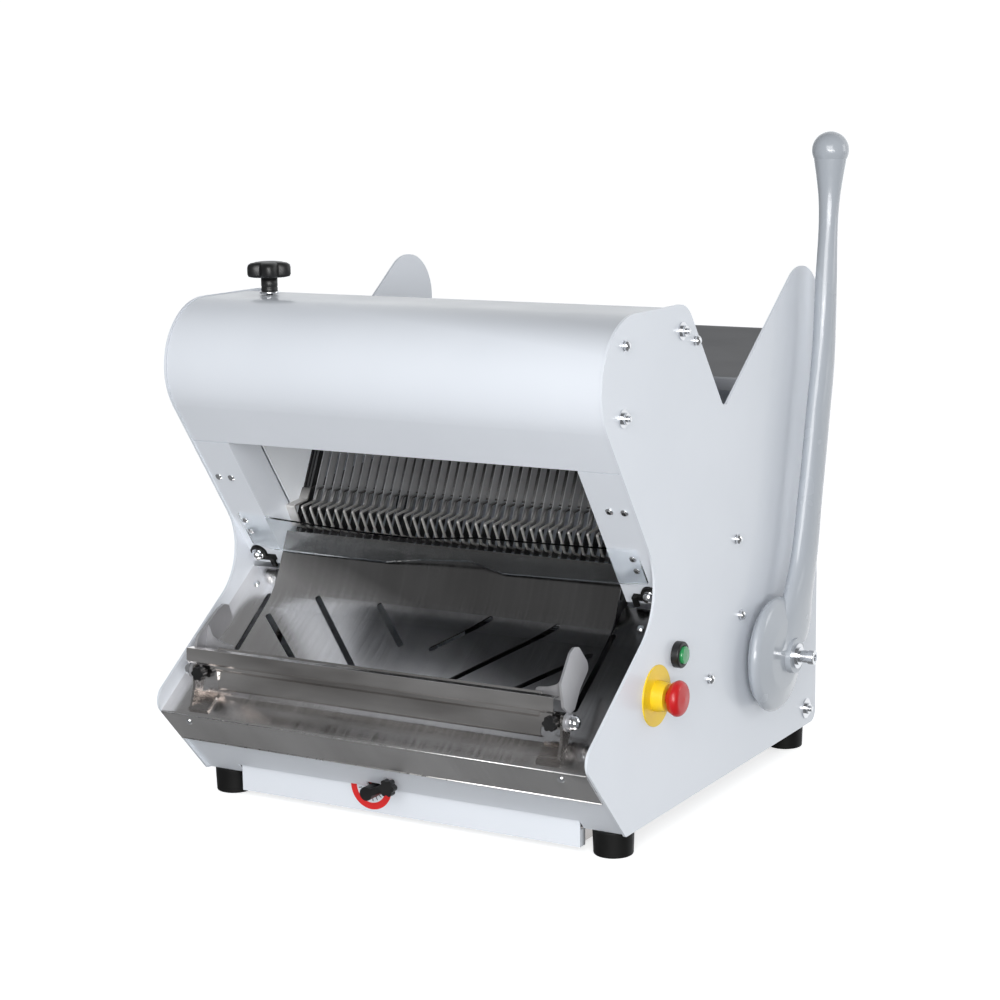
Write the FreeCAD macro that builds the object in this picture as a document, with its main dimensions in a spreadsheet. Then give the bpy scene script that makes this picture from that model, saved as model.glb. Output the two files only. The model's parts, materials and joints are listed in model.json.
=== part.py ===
"""Counter-top bread slicer: two reciprocating blade frames, a hand lever that pushes
the loaf through them, a sloping delivery tray with a bag holder, and a crumb drawer.

Millimetres. X runs across the machine, Y from the front to the rear, Z up.
Every outline is drawn in machine coordinates: X = 0 is half way between the side
plates and Z = 0 is the table. origin_x and origin_y move the whole machine so that
the middle of its footprint lies at the document's origin.
"""
import FreeCAD
import Part
import math
import os

import Sketcher
from FreeCAD import Placement, Rotation, Vector

os.makedirs("parts", exist_ok=True)
doc = FreeCAD.newDocument("bread_slicer")

# --------------------------------------------------------------------------
# Driving dimensions
# --------------------------------------------------------------------------
SIZES = [
    ("origin_x", 26), ("origin_y", 2.75),
    # side plates
    ("half_width", 280), ("plate_wall", 3), ("plate_bottom", 28),
    ("plate_front", -222), ("plate_back", 303.5), ("corner_round", 4), ("heel_round", 14),
    ("nose_y", -318), ("nose_z", 133), ("nose_round", 18),
    ("waist_y", -124), ("waist_z", 271), ("waist_round", 70),
    ("head_y", -341), ("top_z", 587), ("head_round", 77),
    ("shoulder_y", -70), ("shoulder_round", 38),
    ("notch_y", 26), ("notch_z", 458.6), ("notch_round", 12),
    ("lobe_z", 659), ("lobe_round", 58),
    # sheet metal
    ("sheet", 2), ("skin", 1.5), ("skin_gap", 1), ("fit_gap", 0.4),
    # columns beside the cutting opening
    ("column_face", 50), ("column_depth", 46), ("column_foot", -15), ("column_head", 182),
    ("cheek_gap", 4), ("leg_middle", 74), ("leg_width", 68),
    # blades and their frames, laid out along the leaning blade line
    ("blade_y", -72), ("blade_z", 345), ("blade_lean", 25), ("blade_pitch", 12),
    ("blade_margin", 5), ("blade_width", 13), ("blade_gauge", 0.8),
    ("lower_beam", -105), ("upper_beam", 118), ("beam_high", 16), ("beam_thick", 10),
    ("beam_offset", 14), ("side_bar", 3), ("side_bar_width", 12), ("side_bar_gap", 1.5),
    ("frame_clear", 10),
    # slotted bed that carries the loaf
    ("bed_slope", 4), ("bed_rear", 130), ("bed_tuck", 2), ("bed_front_y", -82),
    ("bed_front_z", 348), ("bed_corner_y", -90), ("bed_corner_z", 335.5),
    ("bed_nose_y", -118), ("bed_nose_z", 332.5), ("bed_apron_y", -104),
    ("bed_apron_z", 305), ("bed_band_y", -66), ("bed_band_z", 291), ("bed_slot", 9.4),
    # delivery tray
    ("tray_bend_y", -306.5), ("tray_bend_z", 117.5), ("tray_slope", 35.85),
    ("tray_length", 233), ("tray_lip_y", -270), ("tray_lip_z", 77.5), ("tray_slot", 7),
    ("tray_screw_edge", 28),
    ("shield_gap", 2), ("shield_top", -58), ("shield_bend", 90),
    # ventilation slots in the rear cover
    ("vent_x", 60), ("vent_z", 70), ("vent_wide", 6), ("vent_high", 60), ("vent_pitch", 14),
    # chutes in the loading notch
    ("chute_inset", 6), ("chute_foot", 12), ("chute_high", 128), ("chute_tuck", 41),
    ("rear_chute_foot", 62), ("rear_chute_high", 88), ("rear_chute_gap", 9),
    # base
    ("pan_z", 31), ("drawer_clear", 5.5), ("drawer_face_bottom", 8.4),
    ("drawer_face_top", 39.5), ("drawer_depth", 262), ("drawer_wall", 1.2),
    ("foot_radius", 23), ("foot_inset", 26.5), ("foot_front_y", -200), ("foot_rear_y", 268),
    # lever and pusher
    ("pivot_y", 150), ("pivot_z", 149), ("shaft_radius", 12), ("lever_out", 25),
    ("arm_inset", 41), ("arm_thick", 12), ("arm_length", 215), ("arm_back", 7),
    ("lever_swing", 49), ("pusher_travel", 170), ("pusher_rest", 190), ("pusher_high", 78),
    ("finger_wide", 5), ("finger_deep", 20), ("rail_inset", 15), ("rail_radius", 7),
    ("rail_z", 404),
    # drive
    ("crank_line", -250), ("crank_radius", 12), ("crank_shaft", 10), ("disc_radius", 24),
    ("motor_y", 225), ("motor_z", 94), ("motor_radius", 55), ("motor_long", 190),
    ("fan_long", 36), ("belt_x", -50),
    ("belt_width", 12), ("driven_radius", 45), ("motor_pulley_radius", 25),
    ("belt_thick", 5),
    # controls on the right side plate
    ("start_y", -98), ("start_z", 202), ("start_radius", 14.8),
    ("estop_y", -149), ("estop_z", 167), ("estop_plate_radius", 34),
    ("estop_head_radius", 20),
    # hood knob
    ("knob_x", -220), ("knob_y", -146), ("knob_head", 26),
    ("knob_neck", 9.6), ("knob_under", 20), ("knob_high", 38.5),
    # bag holder on the tray
    ("bag_inset", 39), ("bag_axis_y", -281), ("bag_axis_z", 165.5), ("bag_bar_y", -304),
    ("bag_bar_z", 197), ("bag_plate_inset", 27), ("wing_lean", 12), ("wing_high", 64),
    ("latch_x", -34), ("latch_z", 38.5), ("latch_reach", 36), ("latch_rise", 15),
]

sheet = doc.addObject("Spreadsheet::Sheet", "sizes")
for row, (alias, value) in enumerate(SIZES, start=1):
    sheet.set("A%d" % row, alias)
    sheet.set("B%d" % row, str(value))
    sheet.setAlias("B%d" % row, alias)
doc.recompute()


def size(alias):
    """The sheet's value of one driving dimension."""
    return float(sheet.get(alias))


SUBPARTS = []


def keep(item, label):
    """Registers a finished sub-part and places it in the machine's frame."""
    item.Label = label
    SUBPARTS.append(item)
    return item


def place_by_sheet(item):
    """Binds a sub-part's place to the origin offsets."""
    item.setExpression(".Placement.Base.x", "-sizes.origin_x")
    item.setExpression(".Placement.Base.y", "-sizes.origin_y")


# --------------------------------------------------------------------------
# Outlines
# --------------------------------------------------------------------------
def rounded(points):
    """Edges of a closed outline; a point is (u, v) or (u, v, corner radius)."""
    count = len(points)
    starts = []
    edges = []
    for index in range(count):
        here = points[index]
        corner = Vector(here[0], here[1], 0)
        before = points[index - 1]
        after = points[(index + 1) % count]
        radius = here[2] if len(here) > 2 else 0
        if radius <= 0:
            starts.append((corner, None, corner))
            continue
        to_before = (Vector(before[0], before[1], 0) - corner).normalize()
        to_after = (Vector(after[0], after[1], 0) - corner).normalize()
        half = to_before.getAngle(to_after) / 2
        reach = radius / math.tan(half)
        bisector = (to_before + to_after).normalize()
        middle = corner + bisector * (radius / math.sin(half) - radius)
        starts.append((corner + to_before * reach, middle, corner + to_after * reach))
    for index in range(count):
        begin, middle, end = starts[index]
        if middle is not None:
            edges.append(Part.Arc(begin, middle, end))
        following = starts[(index + 1) % count][0]
        if end.distanceToPoint(following) > 1e-6:
            edges.append(Part.LineSegment(end, following))
    return edges


def folded(points, wall):
    """Closed outline of a folded sheet. points run along one skin as (u, v, radius);
    the wall lies to the left of the run."""
    inner = []
    last = len(points) - 1
    for index, point in enumerate(points):
        here = Vector(point[0], point[1], 0)
        normals = []
        if index > 0:
            run = (here - Vector(points[index - 1][0], points[index - 1][1], 0)).normalize()
            normals.append(Vector(-run.y, run.x, 0))
        if index < last:
            run = (Vector(points[index + 1][0], points[index + 1][1], 0) - here).normalize()
            normals.append(Vector(-run.y, run.x, 0))
        direction = normals[0]
        scale = wall
        turn = 0
        if len(normals) == 2:
            turn = normals[0].x * normals[1].y - normals[0].y * normals[1].x
            direction = (normals[0] + normals[1]).normalize()
            scale = wall / direction.dot(normals[0])
        radius = point[2] if len(point) > 2 else 0
        if radius > 0:
            radius = radius - wall if turn > 0 else radius + wall
        offset = here + direction * scale
        inner.append((offset.x, offset.y, max(radius, 0)))
    return list(points) + inner[::-1]


def yz_face(points, x):
    """A face in the plane X = x from an outline in (y, z)."""
    wire = Part.Wire([edge.toShape() for edge in rounded(points)])
    face = Part.Face(wire)
    turn = FreeCAD.Matrix(0, 0, 1, x, 1, 0, 0, 0, 0, 1, 0, 0, 0, 0, 0, 1)
    return face.transformed(turn)


def slab(points, x_start, x_end):
    """A prism between two X values over an outline in (y, z)."""
    return yz_face(points, x_start).extrude(Vector(x_end - x_start, 0, 0))


def bar_x(x_start, x_end, y, z, radius):
    """A round bar along X."""
    return Part.makeCylinder(radius, x_end - x_start, Vector(x_start, y, z), Vector(1, 0, 0))


def block(x_start, x_end, y_start, y_end, z_start, z_end):
    """A box between pairs of coordinates."""
    return Part.makeBox(x_end - x_start, y_end - y_start, z_end - z_start,
                        Vector(x_start, y_start, z_start))


def column_point(along, across):
    """A point in (y, z) along the leaning front edge of the side plates, measured from
    the waist corner; across is into the machine."""
    up = Vector(size("head_y") - size("waist_y"), size("top_z") - size("waist_z"), 0).normalize()
    back = Vector(up.y, -up.x, 0)
    spot = Vector(size("waist_y"), size("waist_z"), 0) + up * along + back * across
    return (spot.x, spot.y)


LEAN = math.radians(size("blade_lean"))


def blade_point(along, across):
    """A point in (y, z) in the leaning frame of the blades; across is to the rear."""
    y = size("blade_y") + along * math.sin(LEAN) + across * math.cos(LEAN)
    z = size("blade_z") + along * math.cos(LEAN) - across * math.sin(LEAN)
    return (y, z)


SLOPE = math.radians(size("tray_slope"))


def tray_point(along, above):
    """A point in (y, z) on the tray; above is square to its surface."""
    y = size("tray_bend_y") + along * math.cos(SLOPE) - above * math.sin(SLOPE)
    z = size("tray_bend_z") + along * math.sin(SLOPE) + above * math.cos(SLOPE)
    return (y, z)


BED = math.radians(size("bed_slope"))


def bed_z(y):
    """Height of the bed's upper face behind the blades."""
    return size("bed_front_z") + (y - size("bed_front_y")) * math.tan(BED)


# Half widths of what stands between the side plates, from the plates inwards.
INNER = size("half_width") - size("plate_wall")
OPENING = INNER - size("column_face")
FRAME_HALF = OPENING - size("frame_clear")
ROW_HALF = FRAME_HALF - size("blade_margin")
BLADE_PAIRS = int(ROW_HALF / size("blade_pitch") + 0.5)
BED_HALF = OPENING + size("bed_tuck")
ARM_X = INNER - size("arm_inset")
RAIL_X = INNER - size("rail_inset")
FOOT_X = size("half_width") - size("foot_inset")
DRAWER_HALF = FOOT_X - size("foot_radius") - size("drawer_clear")
BAG_X = INNER - size("bag_inset")
BAG_PLATE_HALF = BAG_X - size("bag_plate_inset")
LEVER_X = size("half_width") + size("lever_out")


# --------------------------------------------------------------------------
# Builders
# --------------------------------------------------------------------------
def origin_plane(body, role):
    """One of a body's own origin planes."""
    for feature in body.Origin.OriginFeatures:
        if feature.Role == role:
            return feature
    raise ValueError(role)


def sketch_on(body, role, name, offset, outlines):
    """A sketch of closed outlines on an origin plane, moved along its normal."""
    sketch = body.newObject("Sketcher::SketchObject", name)
    sketch.AttachmentSupport = (origin_plane(body, role), [""])
    sketch.MapMode = "FlatFace"
    sketch.setExpression(".AttachmentOffset.Base.z", offset)
    for outline in outlines:
        first = sketch.GeometryCount
        edges = rounded(outline)
        sketch.addGeometry(edges, False)
        for index in range(len(edges)):
            join_ends(sketch, first + index, first + (index + 1) % len(edges))
    return sketch


def join_ends(sketch, one, other):
    """Makes the nearest ends of two sketch edges coincident."""
    pairs = [(sketch.getPoint(one, end).distanceToPoint(sketch.getPoint(other, start)), end, start)
             for end in (1, 2) for start in (1, 2)]
    nearest = min(pairs)
    sketch.addConstraint(Sketcher.Constraint("Coincident", one, nearest[1], other, nearest[2]))


def padded_body(label, start, length, outlines):
    """A body padded along X over outlines in (y, z); start and length are expressions."""
    body = doc.addObject("PartDesign::Body", label)
    sketch = sketch_on(body, "YZ_Plane", label + "_outline", start, outlines)
    pad = body.newObject("PartDesign::Pad", label + "_pad")
    pad.Profile = sketch
    pad.setExpression("Length", length)
    doc.recompute()
    place_by_sheet(body)
    return keep(body, label)


def add_pad(body, name, start, length, outlines):
    """A further pad along X on a body."""
    sketch = sketch_on(body, "YZ_Plane", name + "_outline", start, outlines)
    pad = body.newObject("PartDesign::Pad", name + "_pad")
    pad.Profile = sketch
    pad.setExpression("Length", length)
    doc.recompute()
    return pad


def add_pocket(body, name, start, length, outlines):
    """Cuts outlines out of a body, towards +X from start."""
    before = body.Shape.Volume
    sketch = sketch_on(body, "YZ_Plane", name + "_outline", start, outlines)
    pocket = body.newObject("PartDesign::Pocket", name + "_pocket")
    pocket.Profile = sketch
    pocket.Reversed = True
    pocket.setExpression("Length", length)
    doc.recompute()
    if body.Shape.Volume >= before - 1e-3:
        raise RuntimeError(name + " cut nothing")
    return pocket


def turned(label, profile, place):
    """A body turned about its own Z axis from (radius, height) points; place is its
    Placement in machine coordinates."""
    body = doc.addObject("PartDesign::Body", label)
    sketch = sketch_on(body, "XZ_Plane", label + "_profile", "0", [profile])
    feature = body.newObject("PartDesign::Revolution", label + "_turn")
    feature.Profile = sketch
    feature.ReferenceAxis = (sketch, ["V_Axis"])
    feature.Angle = 360
    doc.recompute()
    base = place.Base
    body.Placement = place
    body.setExpression(".Placement.Base.x", "%.4f - sizes.origin_x" % base.x)
    body.setExpression(".Placement.Base.y", "%.4f - sizes.origin_y" % base.y)
    return keep(body, label)


def cylinder(label, radius, height, base, turn):
    """A plain cylinder with its size bound to the sheet."""
    item = doc.addObject("Part::Cylinder", label)
    item.setExpression("Radius", radius)
    item.setExpression("Height", height)
    item.Placement = Placement(Vector(*base), turn)
    item.setExpression(".Placement.Base.x", "%.4f - sizes.origin_x" % base[0])
    item.setExpression(".Placement.Base.y", "%.4f - sizes.origin_y" % base[1])
    return keep(item, label)


def shaped(label, shape):
    """A sub-part whose shape is made directly, placed after its shape is set."""
    item = doc.addObject("Part::Feature", label)
    item.Shape = shape
    shift = Placement(Vector(-size("origin_x"), -size("origin_y"), 0), Rotation())
    item.Placement = shift.multiply(item.Placement)
    return keep(item, label)


def revolved(profile, base, axis):
    """A solid of revolution from (radius, height) points about an axis through base."""
    wire = Part.Wire([edge.toShape() for edge in rounded(profile)])
    solid = Part.Face(wire).revolve(Vector(0, 0, 0), Vector(0, 1, 0), 360)
    solid = solid.transformed(Placement(Vector(0, 0, 0), Rotation(Vector(1, 0, 0), 90)).toMatrix())
    turn = Rotation(Vector(0, 0, 1), Vector(*axis))
    return solid.transformed(Placement(Vector(*base), turn).toMatrix())


def group(shapes):
    """Separate solids that share one node."""
    return Part.makeCompound(shapes)


def mirrored_pair(shape):
    """A solid and its mirror image across the machine's middle."""
    return [shape, shape.mirror(Vector(0, 0, 0), Vector(1, 0, 0))]


# --------------------------------------------------------------------------
# Side plates
# --------------------------------------------------------------------------
def plate_outline():
    """Outline of both side plates, from the front foot anticlockwise."""
    return [
        (size("plate_front"), size("plate_bottom"), size("corner_round")),
        (size("plate_back"), size("plate_bottom"), size("heel_round")),
        (size("plate_back"), size("lobe_z"), size("lobe_round")),
        (size("notch_y"), size("notch_z"), size("notch_round")),
        (size("shoulder_y"), size("top_z"), size("shoulder_round")),
        (size("head_y"), size("top_z"), size("head_round")),
        (size("waist_y"), size("waist_z"), size("waist_round")),
        (size("nose_y"), size("nose_z"), size("nose_round")),
    ]


def round_hole(y, z, radius):
    """A round opening drawn as four rounded corners."""
    return [(y - radius, z - radius, radius * 0.999), (y + radius, z - radius, radius * 0.999),
            (y + radius, z + radius, radius * 0.999), (y - radius, z + radius, radius * 0.999)]


BUSH_RADIUS = size("shaft_radius") + 5
SWITCH_NECK = 11


def side_plates():
    """Two painted steel plates; the right one carries the switches."""
    bush_hole = round_hole(size("pivot_y"), size("pivot_z"), BUSH_RADIUS)
    left = padded_body("side_plate_left", "-sizes.half_width", "sizes.plate_wall",
                       [plate_outline()])
    add_pocket(left, "left_bush", "-sizes.half_width - 1", "sizes.plate_wall + 2", [bush_hole])
    right = padded_body("side_plate_right", "sizes.half_width - sizes.plate_wall",
                        "sizes.plate_wall", [plate_outline()])
    switches = [
        bush_hole,
        round_hole(size("start_y"), size("start_z"), SWITCH_NECK + 0.2),
        round_hole(size("estop_y"), size("estop_z"), SWITCH_NECK + 0.2),
    ]
    add_pocket(right, "right_holes", "sizes.half_width - sizes.plate_wall - 1",
               "sizes.plate_wall + 2", switches)


# --------------------------------------------------------------------------
# Hood, chute and covers
# --------------------------------------------------------------------------
KNOB_STEM = 4


def hood():
    """Curved sheet over the blade frames, open below and behind."""
    inset = size("skin_gap")
    low = column_point(size("column_head"), inset)
    lean = column_point(size("column_head") + 100, inset)
    top = size("top_z") - inset
    head_y = low[0] + (lean[0] - low[0]) * (top - low[1]) / (lean[1] - low[1])
    rear = size("shoulder_y") - 42
    hem_low = column_point(size("column_head") + 3, 16)
    skin = folded([(hem_low[0], hem_low[1]), (low[0], low[1], 1.5),
                   (head_y, top, size("head_round") - inset), (rear, top, 3),
                   (rear, top - 16)], -size("skin"))
    body = padded_body("hood", "-(sizes.half_width - sizes.plate_wall) + sizes.fit_gap",
                       "2 * (sizes.half_width - sizes.plate_wall - sizes.fit_gap)", [skin])
    hole = round_hole(size("knob_x"), size("knob_y"), KNOB_STEM + 0.4)
    sketch = sketch_on(body, "XY_Plane", "knob_hole", "sizes.top_z + 2", [hole])
    pocket = body.newObject("PartDesign::Pocket", "knob_pocket")
    pocket.Profile = sketch
    pocket.Length = 8
    doc.recompute()


def chutes():
    """Sheets that line the loading notch in front and behind."""
    up = Vector(size("shoulder_y") - size("notch_y"), size("top_z") - size("notch_z"), 0).normalize()
    inward = Vector(-up.y, up.x, 0)
    foot = Vector(size("notch_y"), size("notch_z"), 0) + inward * size("chute_inset")
    foot += up * size("chute_foot")
    head = foot + up * size("chute_high")
    tail = Vector(size("shoulder_y") - size("chute_tuck"), size("top_z") - size("skin_gap") - size("skin") - 0.5, 0)
    front = folded([(foot.x, foot.y), (head.x, head.y, 6), (tail.x + 1.2, head.y)], size("skin"))
    padded_body("chute_front", "-(sizes.half_width - sizes.plate_wall)",
                "2 * (sizes.half_width - sizes.plate_wall)", [front])
    lobe = Vector(size("plate_back") - size("notch_y"), size("lobe_z") - size("notch_z"), 0)
    lobe = lobe.normalize()
    under = Vector(lobe.y, -lobe.x, 0)
    low = Vector(size("notch_y"), size("notch_z"), 0) + under * size("rear_chute_gap")
    low += lobe * size("rear_chute_foot")
    high = low + lobe * size("rear_chute_high")
    hem = high + under * 14
    rear = folded([(low.x, low.y - 16), (low.x, low.y, 4), (high.x, high.y, 3), (hem.x, hem.y)],
                  -size("skin"))
    padded_body("chute_rear", "-(sizes.half_width - sizes.plate_wall)",
                "2 * (sizes.half_width - sizes.plate_wall)", [rear])


REAR_TOP = 470
VENTS = 11


def rear_cover():
    """Removable back panel with ventilation slots and a turned-in top edge."""
    back = size("plate_back") - 1
    low = size("pan_z") + 0.2
    outline = folded([(back - 20, REAR_TOP), (back, REAR_TOP, 3), (back, low + 1)], -size("skin"))
    body = padded_body("rear_cover", "-(sizes.half_width - sizes.plate_wall) + sizes.fit_gap",
                       "2 * (sizes.half_width - sizes.plate_wall - sizes.fit_gap)", [outline])
    left, bottom = size("vent_x"), size("vent_z")
    right, top = left + size("vent_wide"), bottom + size("vent_high")
    sketch = sketch_on(body, "XZ_Plane", "vent_outline", "-sizes.plate_back - 5",
                       [[(left, bottom), (right, bottom), (right, top), (left, top)]])
    vent = body.newObject("PartDesign::Pocket", "vent_pocket")
    vent.Profile = sketch
    vent.Length = 14
    vent.Reversed = True
    doc.recompute()
    row = body.newObject("PartDesign::LinearPattern", "vent_row")
    row.Originals = [vent]
    row.Direction = (sketch, ["H_Axis"])
    row.Length = size("vent_pitch") * (VENTS - 1)
    row.Occurrences = VENTS
    body.Tip = row
    doc.recompute()


def base_pan():
    """Folded bottom sheet with a window over the crumb drawer."""
    front = size("plate_front") + 7
    back = size("plate_back") - 1 - size("skin")
    outline = folded([(back, size("pan_z") + 25), (back, size("pan_z") - size("sheet"), 2),
                      (front, size("pan_z") - size("sheet"))], -size("sheet"))
    body = padded_body("base_pan", "-(sizes.half_width - sizes.plate_wall)",
                       "2 * (sizes.half_width - sizes.plate_wall)", [outline])
    edge = DRAWER_HALF - 20
    window_front = front + 10
    window_back = size("plate_front") + size("drawer_depth") - 25
    window = [(-edge, window_front), (edge, window_front), (edge, window_back),
              (-edge, window_back)]
    sketch = sketch_on(body, "XY_Plane", "window_outline", "sizes.pan_z + 5", [window])
    pocket = body.newObject("PartDesign::Pocket", "window_pocket")
    pocket.Profile = sketch
    pocket.Length = 12
    doc.recompute()


LATCH_BOSS = 8
LATCH_NOTCH = LATCH_BOSS + 1.5


def front_panel():
    """Painted strip below the tray lip, cut out over the drawer's face and round the latch."""
    y_low = size("plate_front") + 1
    z_low = size("plate_bottom") + 1
    y_top = size("tray_lip_y") - 8
    z_top = size("tray_lip_z") + 12
    outline = folded([(y_top + 3, z_top), (y_low + 3, z_low)], size("sheet"))
    window = DRAWER_HALF + 2
    over_face = size("drawer_face_top") + 1.2
    over_latch = size("latch_z") + LATCH_NOTCH
    left_of_latch = size("latch_x") - LATCH_NOTCH
    right_of_latch = size("latch_x") + LATCH_NOTCH
    spans = [
        (-INNER, -window, 0), (-window, left_of_latch, over_face),
        (left_of_latch, right_of_latch, over_latch), (right_of_latch, window, over_face),
        (window, INNER, 0),
    ]
    solids = []
    for x_low, x_high, bottom in spans:
        room = block(x_low, x_high, y_top - 50, y_low + 50, bottom, z_top + 50)
        solids += slab(outline, x_low, x_high).common(room).Solids
    shaped("front_panel", group(solids))


# --------------------------------------------------------------------------
# Columns and cheeks
# --------------------------------------------------------------------------
def leaning_strip(low, high, across_start, across_end):
    """A parallelogram in (y, z) along the leaning front of the machine."""
    return [column_point(low, across_start), column_point(low, across_end),
            column_point(high, across_end), column_point(high, across_start)]


def columns():
    """Leaning box columns on both sides of the opening: a front face and an inner side."""
    low = size("column_foot")
    high = size("column_head")
    near = 1.2
    deep = size("column_depth")
    toe = low - 17
    face = leaning_strip(low, high, near, near + size("sheet"))
    side = [column_point(low, near), column_point(toe, near + 20), column_point(toe, deep),
            column_point(high, deep), column_point(high, near)]
    places = {
        "left": ("-(sizes.half_width - sizes.plate_wall)",
                 "-(sizes.half_width - sizes.plate_wall) + sizes.column_face - sizes.sheet"),
        "right": ("sizes.half_width - sizes.plate_wall - sizes.column_face",
                  "sizes.half_width - sizes.plate_wall - sizes.column_face"),
    }
    for hand, (face_start, side_start) in places.items():
        body = padded_body("column_" + hand, face_start, "sizes.column_face", [face])
        add_pad(body, "column_side_" + hand, side_start, "sizes.sheet", [side])


def cheeks():
    """Inner side sheets between the columns and the bed; they carry the bed's ends and
    stand on the base pan."""
    joint = size("column_depth") + size("cheek_gap")
    rear_top = blade_point(112, 9)
    rear_low = blade_point(4, 9)
    under = size("sheet") + 0.05
    toe_y, toe_z = column_point(size("column_foot") - 17, joint)
    leg = size("leg_middle")
    wide = size("leg_width") / 2
    outline = [
        (toe_y, toe_z),
        (leg - wide - 10, toe_z + 8),
        (leg - wide, size("pan_z")),
        (leg + wide, size("pan_z")),
        (leg + wide + 12, toe_z + 8),
        (size("bed_rear") - 4, bed_z(size("bed_rear")) - under - 14),
        (size("bed_rear") - 4, bed_z(size("bed_rear") - 4) - under),
        (rear_low[0], bed_z(rear_low[0]) - under),
        rear_top,
        column_point(size("column_head"), joint),
    ]
    padded_body("cheek_left", "-(sizes.half_width - sizes.plate_wall) + sizes.column_face"
                " - sizes.sheet", "sizes.sheet", [outline])
    padded_body("cheek_right", "sizes.half_width - sizes.plate_wall - sizes.column_face",
                "sizes.sheet", [outline])


# --------------------------------------------------------------------------
# Bed, tray and guard
# --------------------------------------------------------------------------
def bed_comb():
    """Folded bed sheet behind the blades, a comb of folded bars between the blades and a
    band that joins the bars below."""
    rear = size("bed_rear")
    run = [
        (rear, bed_z(rear) - 16), (rear, bed_z(rear), 3), (size("bed_front_y"), size("bed_front_z"), 2),
        (size("bed_corner_y"), size("bed_corner_z"), 2.5), (size("bed_nose_y"), size("bed_nose_z"), 2.5),
        (size("bed_apron_y"), size("bed_apron_z"), 2.5), (size("bed_band_y"), size("bed_band_z")),
    ]
    outline = folded(run, size("sheet"))
    behind = size("blade_width") / 2 + 5
    before = -size("blade_width") / 2 - 3
    far = 400
    plate_side = slab([blade_point(-30, behind), blade_point(40, behind), (far, 500), (far, 300)],
                      -far, far)
    band_side = slab([blade_point(-90, behind), blade_point(-30, behind), (far, 300), (far, 150)],
                     -far, far)
    half = BED_HALF
    sheet_solid = slab(outline, -half, half)
    plate = sheet_solid.common(plate_side)
    inner = INNER - size("column_face") - 0.1
    band = slab(outline, -inner, inner).common(band_side)
    solids = plate.Solids + band.Solids
    bar_wide = size("blade_pitch") - size("bed_slot")
    for index in range(-BLADE_PAIRS, BLADE_PAIRS + 1):
        x = index * size("blade_pitch")
        low, high = x - bar_wide / 2, x + bar_wide / 2
        limit = FRAME_HALF - size("fit_gap")
        low, high = max(low, -limit), min(high, limit)
        solids += slab(outline, low, high).cut([plate_side, band_side]).Solids
    front_side = slab([blade_point(-90, before), blade_point(40, before), (-far, 500), (-far, 150)],
                      -far, far)
    for sign in (-1, 1):
        low = min(sign * (FRAME_HALF - size("fit_gap")), sign * inner)
        high = max(sign * (FRAME_HALF - size("fit_gap")), sign * inner)
        solids += slab(outline, low, high).common(front_side).Solids
    shaped("bed_comb", group(solids))


TRAY_SLOTS = [
    # (x, distance up the slope) of both ends of each slot on the right half
    ((230, 189), (228, 84)),
    ((214, 159), (144, 98)),
    ((160, 192), (62, 98)),
    ((74, 192), (21, 141)),
]


def tray():
    """Stainless delivery tray with a turned-down lip and drain slots. Between the columns
    its rear edge is bent up into a shield in front of the blade frames."""
    lip = [(size("tray_lip_y"), size("tray_lip_z")),
           (size("tray_bend_y"), size("tray_bend_z"), 3)]
    blank = slab(folded(lip + [tray_point(size("tray_length"), 0)], -size("skin")), -INNER, INNER)
    across = -(size("beam_offset") + size("beam_thick") / 2 + size("shield_gap"))
    along, bend = shield_foot(across)
    middle = OPENING - size("fit_gap")
    straight = bend - 3 - size("shield_bend") * math.tan((math.pi / 2 - LEAN - SLOPE) / 2)
    run = [tray_point(straight, 0), tray_point(bend, 0) + (size("shield_bend"),),
           blade_point(size("shield_top"), across)]
    shield = slab(folded(run, -size("skin")), -middle, middle)
    past = size("tray_length") + 4
    notch = [tray_point(straight, -14), tray_point(past, -14), tray_point(past, 6),
             tray_point(straight, 6)]
    blank = blank.cut(slab(notch, -middle, middle)).fuse(shield).removeSplitter()
    cutters = []
    for ends in TRAY_SLOTS:
        for mirror in (1, -1):
            spots = []
            for x, distance in ends:
                y, z = tray_point(distance, 0)
                spots.append(Vector(mirror * x, y, z))
            cutters.append(slot_cutter(spots[0], spots[1], size("tray_slot") / 2))
    shaped("tray", blank.cut(cutters))


def shield_foot(across):
    """Distance along the blades and up the tray of the line where the tray's surface meets
    a plane parallel to the blades."""
    base_y, base_z = blade_point(0, across)
    gap_y = size("tray_bend_y") - base_y
    gap_z = size("tray_bend_z") - base_z
    turn = math.cos(LEAN) * math.cos(SLOPE) - math.sin(LEAN) * math.sin(SLOPE)
    along = (gap_z * math.cos(SLOPE) - gap_y * math.sin(SLOPE)) / turn
    up = (gap_z * math.sin(LEAN) - gap_y * math.cos(LEAN)) / turn
    return (along, up)


def slot_cutter(start, end, radius):
    """A round-ended cutter square to the tray's surface."""
    square = Vector(0, -math.sin(SLOPE), math.cos(SLOPE))
    run = end - start
    side = square.cross(run).normalize() * radius
    depth = 6
    low = square * -depth
    corners = [start + side + low, end + side + low, end - side + low, start - side + low]
    middle = Part.Face(Part.makePolygon(corners + [corners[0]])).extrude(square * depth * 2)
    cap_start = Part.makeCylinder(radius, depth * 2, start + low, square)
    cap_end = Part.makeCylinder(radius, depth * 2, end + low, square)
    return middle.fuse([cap_start, cap_end])


GUARD_HALF = INNER - 13
GUARD_THICK = 2.5
GUARD_CORNERS = [
    # (x, distance up the columns); the lower edge dips on both sides of a notch and clears
    # the hooks at both ends
    (-GUARD_HALF, 18), (-GUARD_HALF + 28, 11), (-78, 9.5), (-26, 20), (40, 26), (78, 11),
    (GUARD_HALF - 28, 16), (GUARD_HALF, 20), (GUARD_HALF, 70), (60, 65), (-20, 54),
    (-100, 56), (-GUARD_HALF, 68),
]


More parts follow.
